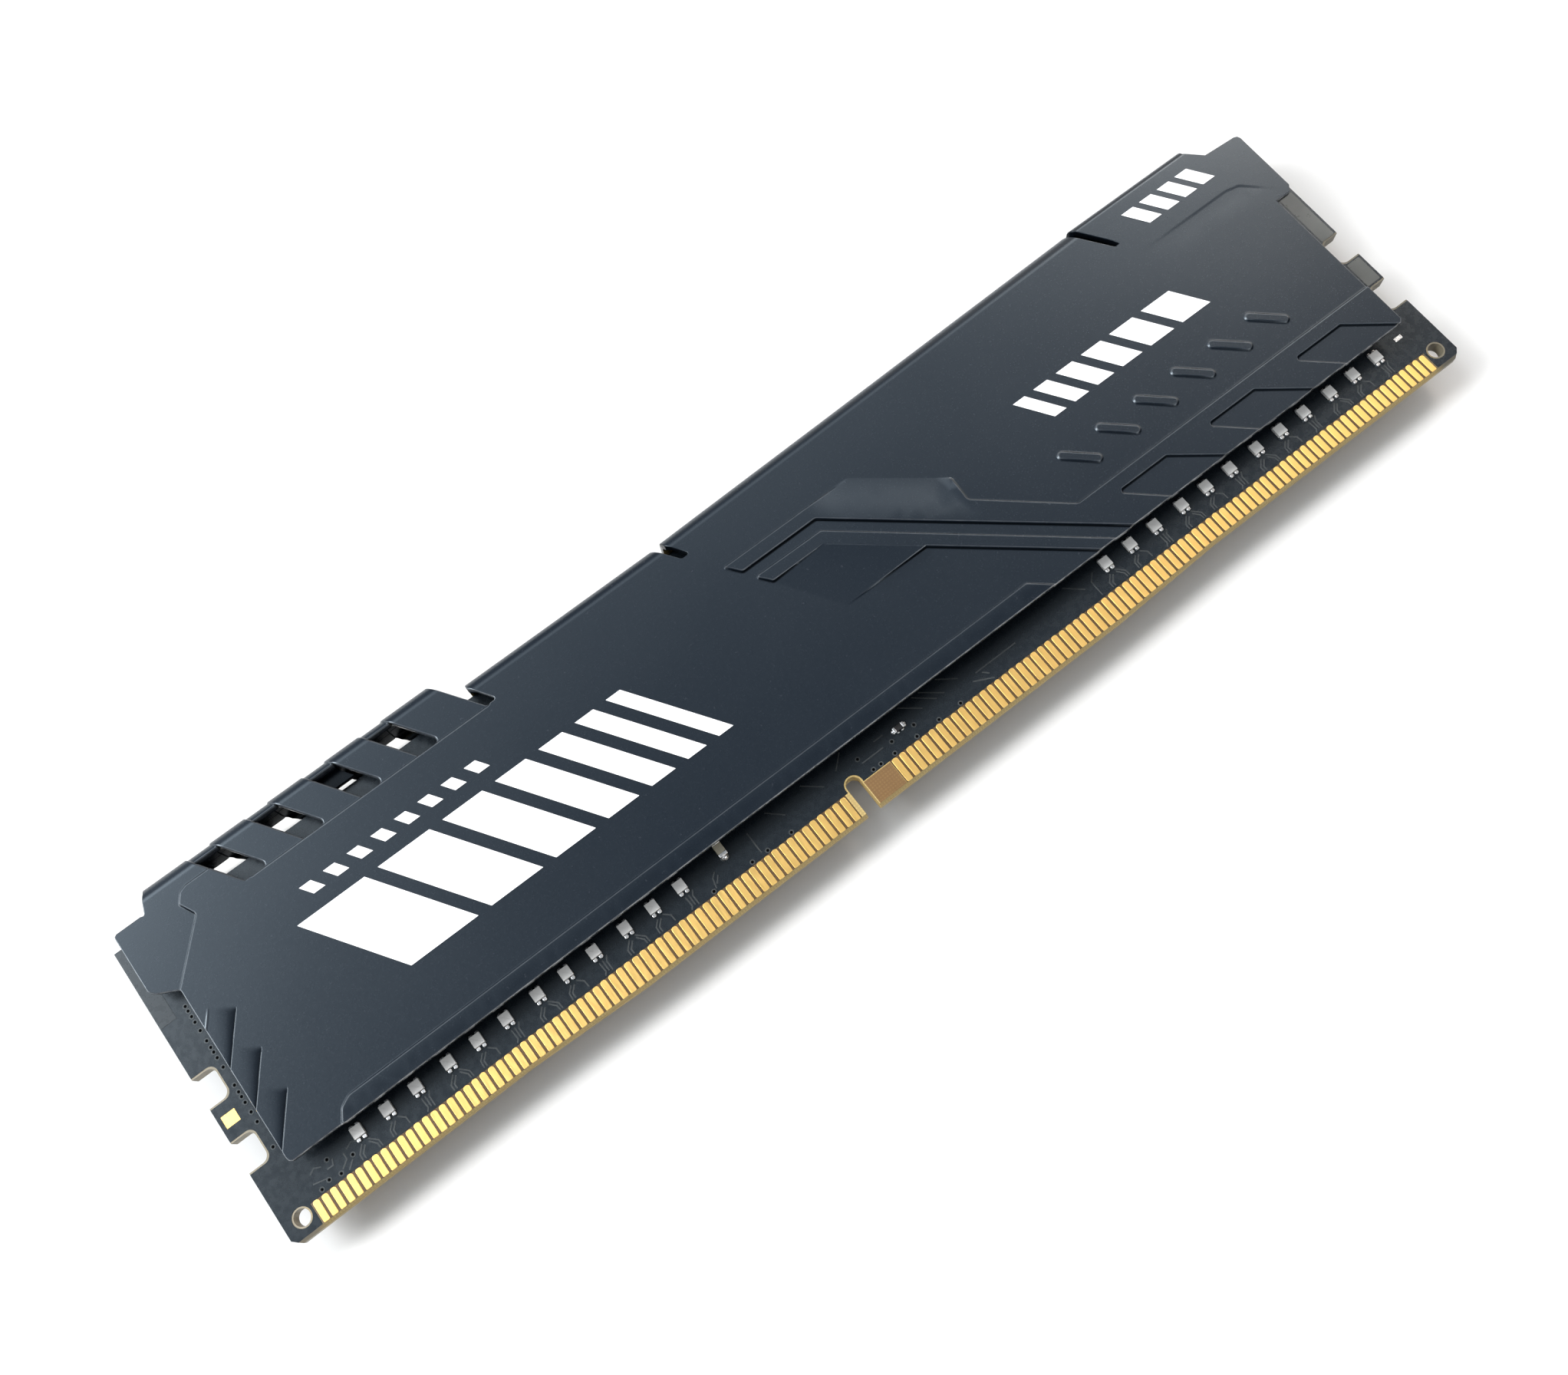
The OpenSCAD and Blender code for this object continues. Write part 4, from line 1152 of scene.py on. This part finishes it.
def area_light(name, location, size, power):
    """White rectangular lamp that points at the origin."""
    data = bpy.data.lights.new(name, "AREA")
    data.shape = "RECTANGLE"
    data.size, data.size_y = size
    data.energy = power
    light = bpy.data.objects.new(name, data)
    light.location = location
    light.rotation_mode = "QUATERNION"
    light.rotation_quaternion = (-Vector(location)).to_track_quat("-Z", "Y")
    bpy.context.scene.collection.objects.link(light)


area_light("key_light", (-0.55, 0.3, 0.45), (0.35, 0.35), 6.0)
area_light("front_fill", (0.1, -0.55, 0.45), (0.5, 0.25), 1.5)


def studio_surround():
    """Room light by direction: dim overhead and near the horizon, brighter towards both ends and the back.

    Each share is read from the direction's slope, X or Y over height.
    """
    world = bpy.data.worlds.new("studio")
    bpy.context.scene.world = world
    world.use_nodes = True
    tree = world.node_tree
    split = node(tree, "ShaderNodeSeparateXYZ")
    tree.links.new(node(tree, "ShaderNodeTexCoord").outputs["Generated"], split.inputs[0])

    def add(a, b):
        return calc(tree, "ADD", a, b)

    def times(a, b):
        return calc(tree, "MULTIPLY", a, b)

    height = calc(tree, "MAXIMUM", split.outputs["Z"], 0.12)
    right = calc(tree, "DIVIDE", split.outputs["X"], height)
    behind = calc(tree, "DIVIDE", split.outputs["Y"], height)
    left = times(right, -1.0)
    dimmer = calc(tree, "SUBTRACT", 1.0, times(share(tree, behind, 0.65, 1.5), 0.8))
    back = times(share(tree, behind, 0.29, 0.6), dimmer)
    right_end = share(tree, right, 0.54, 0.9)
    left_end = share(tree, left, 0.05, 0.5)
    far_left = share(tree, left, 0.5, 1.5)
    level = add(times(back, 1.85), 0.31)
    level = add(level, times(right_end, times(back, 18.5)))
    level = add(level, times(left_end, add(times(back, 6.6), 0.9)))
    level = add(level, times(far_left, 1.5))
    front = add(times(share(tree, behind, -0.6, 0.1), 0.85), 0.15)
    raised = share(tree, split.outputs["Z"], 0.5, 0.75)
    level = times(level, add(times(raised, 0.8), 0.2))
    background = tree.nodes["Background"]
    tree.links.new(times(level, front), background.inputs["Strength"])
    tint = mixed(tree, right_end, (0.95, 1.0, 1.06), (1.12, 1.0, 0.9))
    tree.links.new(tint, background.inputs["Color"])


studio_surround()

scene = bpy.context.scene
scene.view_settings.view_transform = "Standard"

# Solved from the contacts, notches and corner holes in the photo
camera_data = bpy.data.cameras.new("camera")
camera_data.sensor_width = 36.0
camera_data.lens = 34.786
camera_data.clip_start = 0.01
camera = bpy.data.objects.new("camera", camera_data)
camera.location = (-0.02499, -0.039193, 0.136653)
camera.rotation_mode = "QUATERNION"
camera.rotation_quaternion = Quaternion((0.935128, 0.148861, -0.026245, -0.320448))
scene.collection.objects.link(camera)
scene.camera = camera
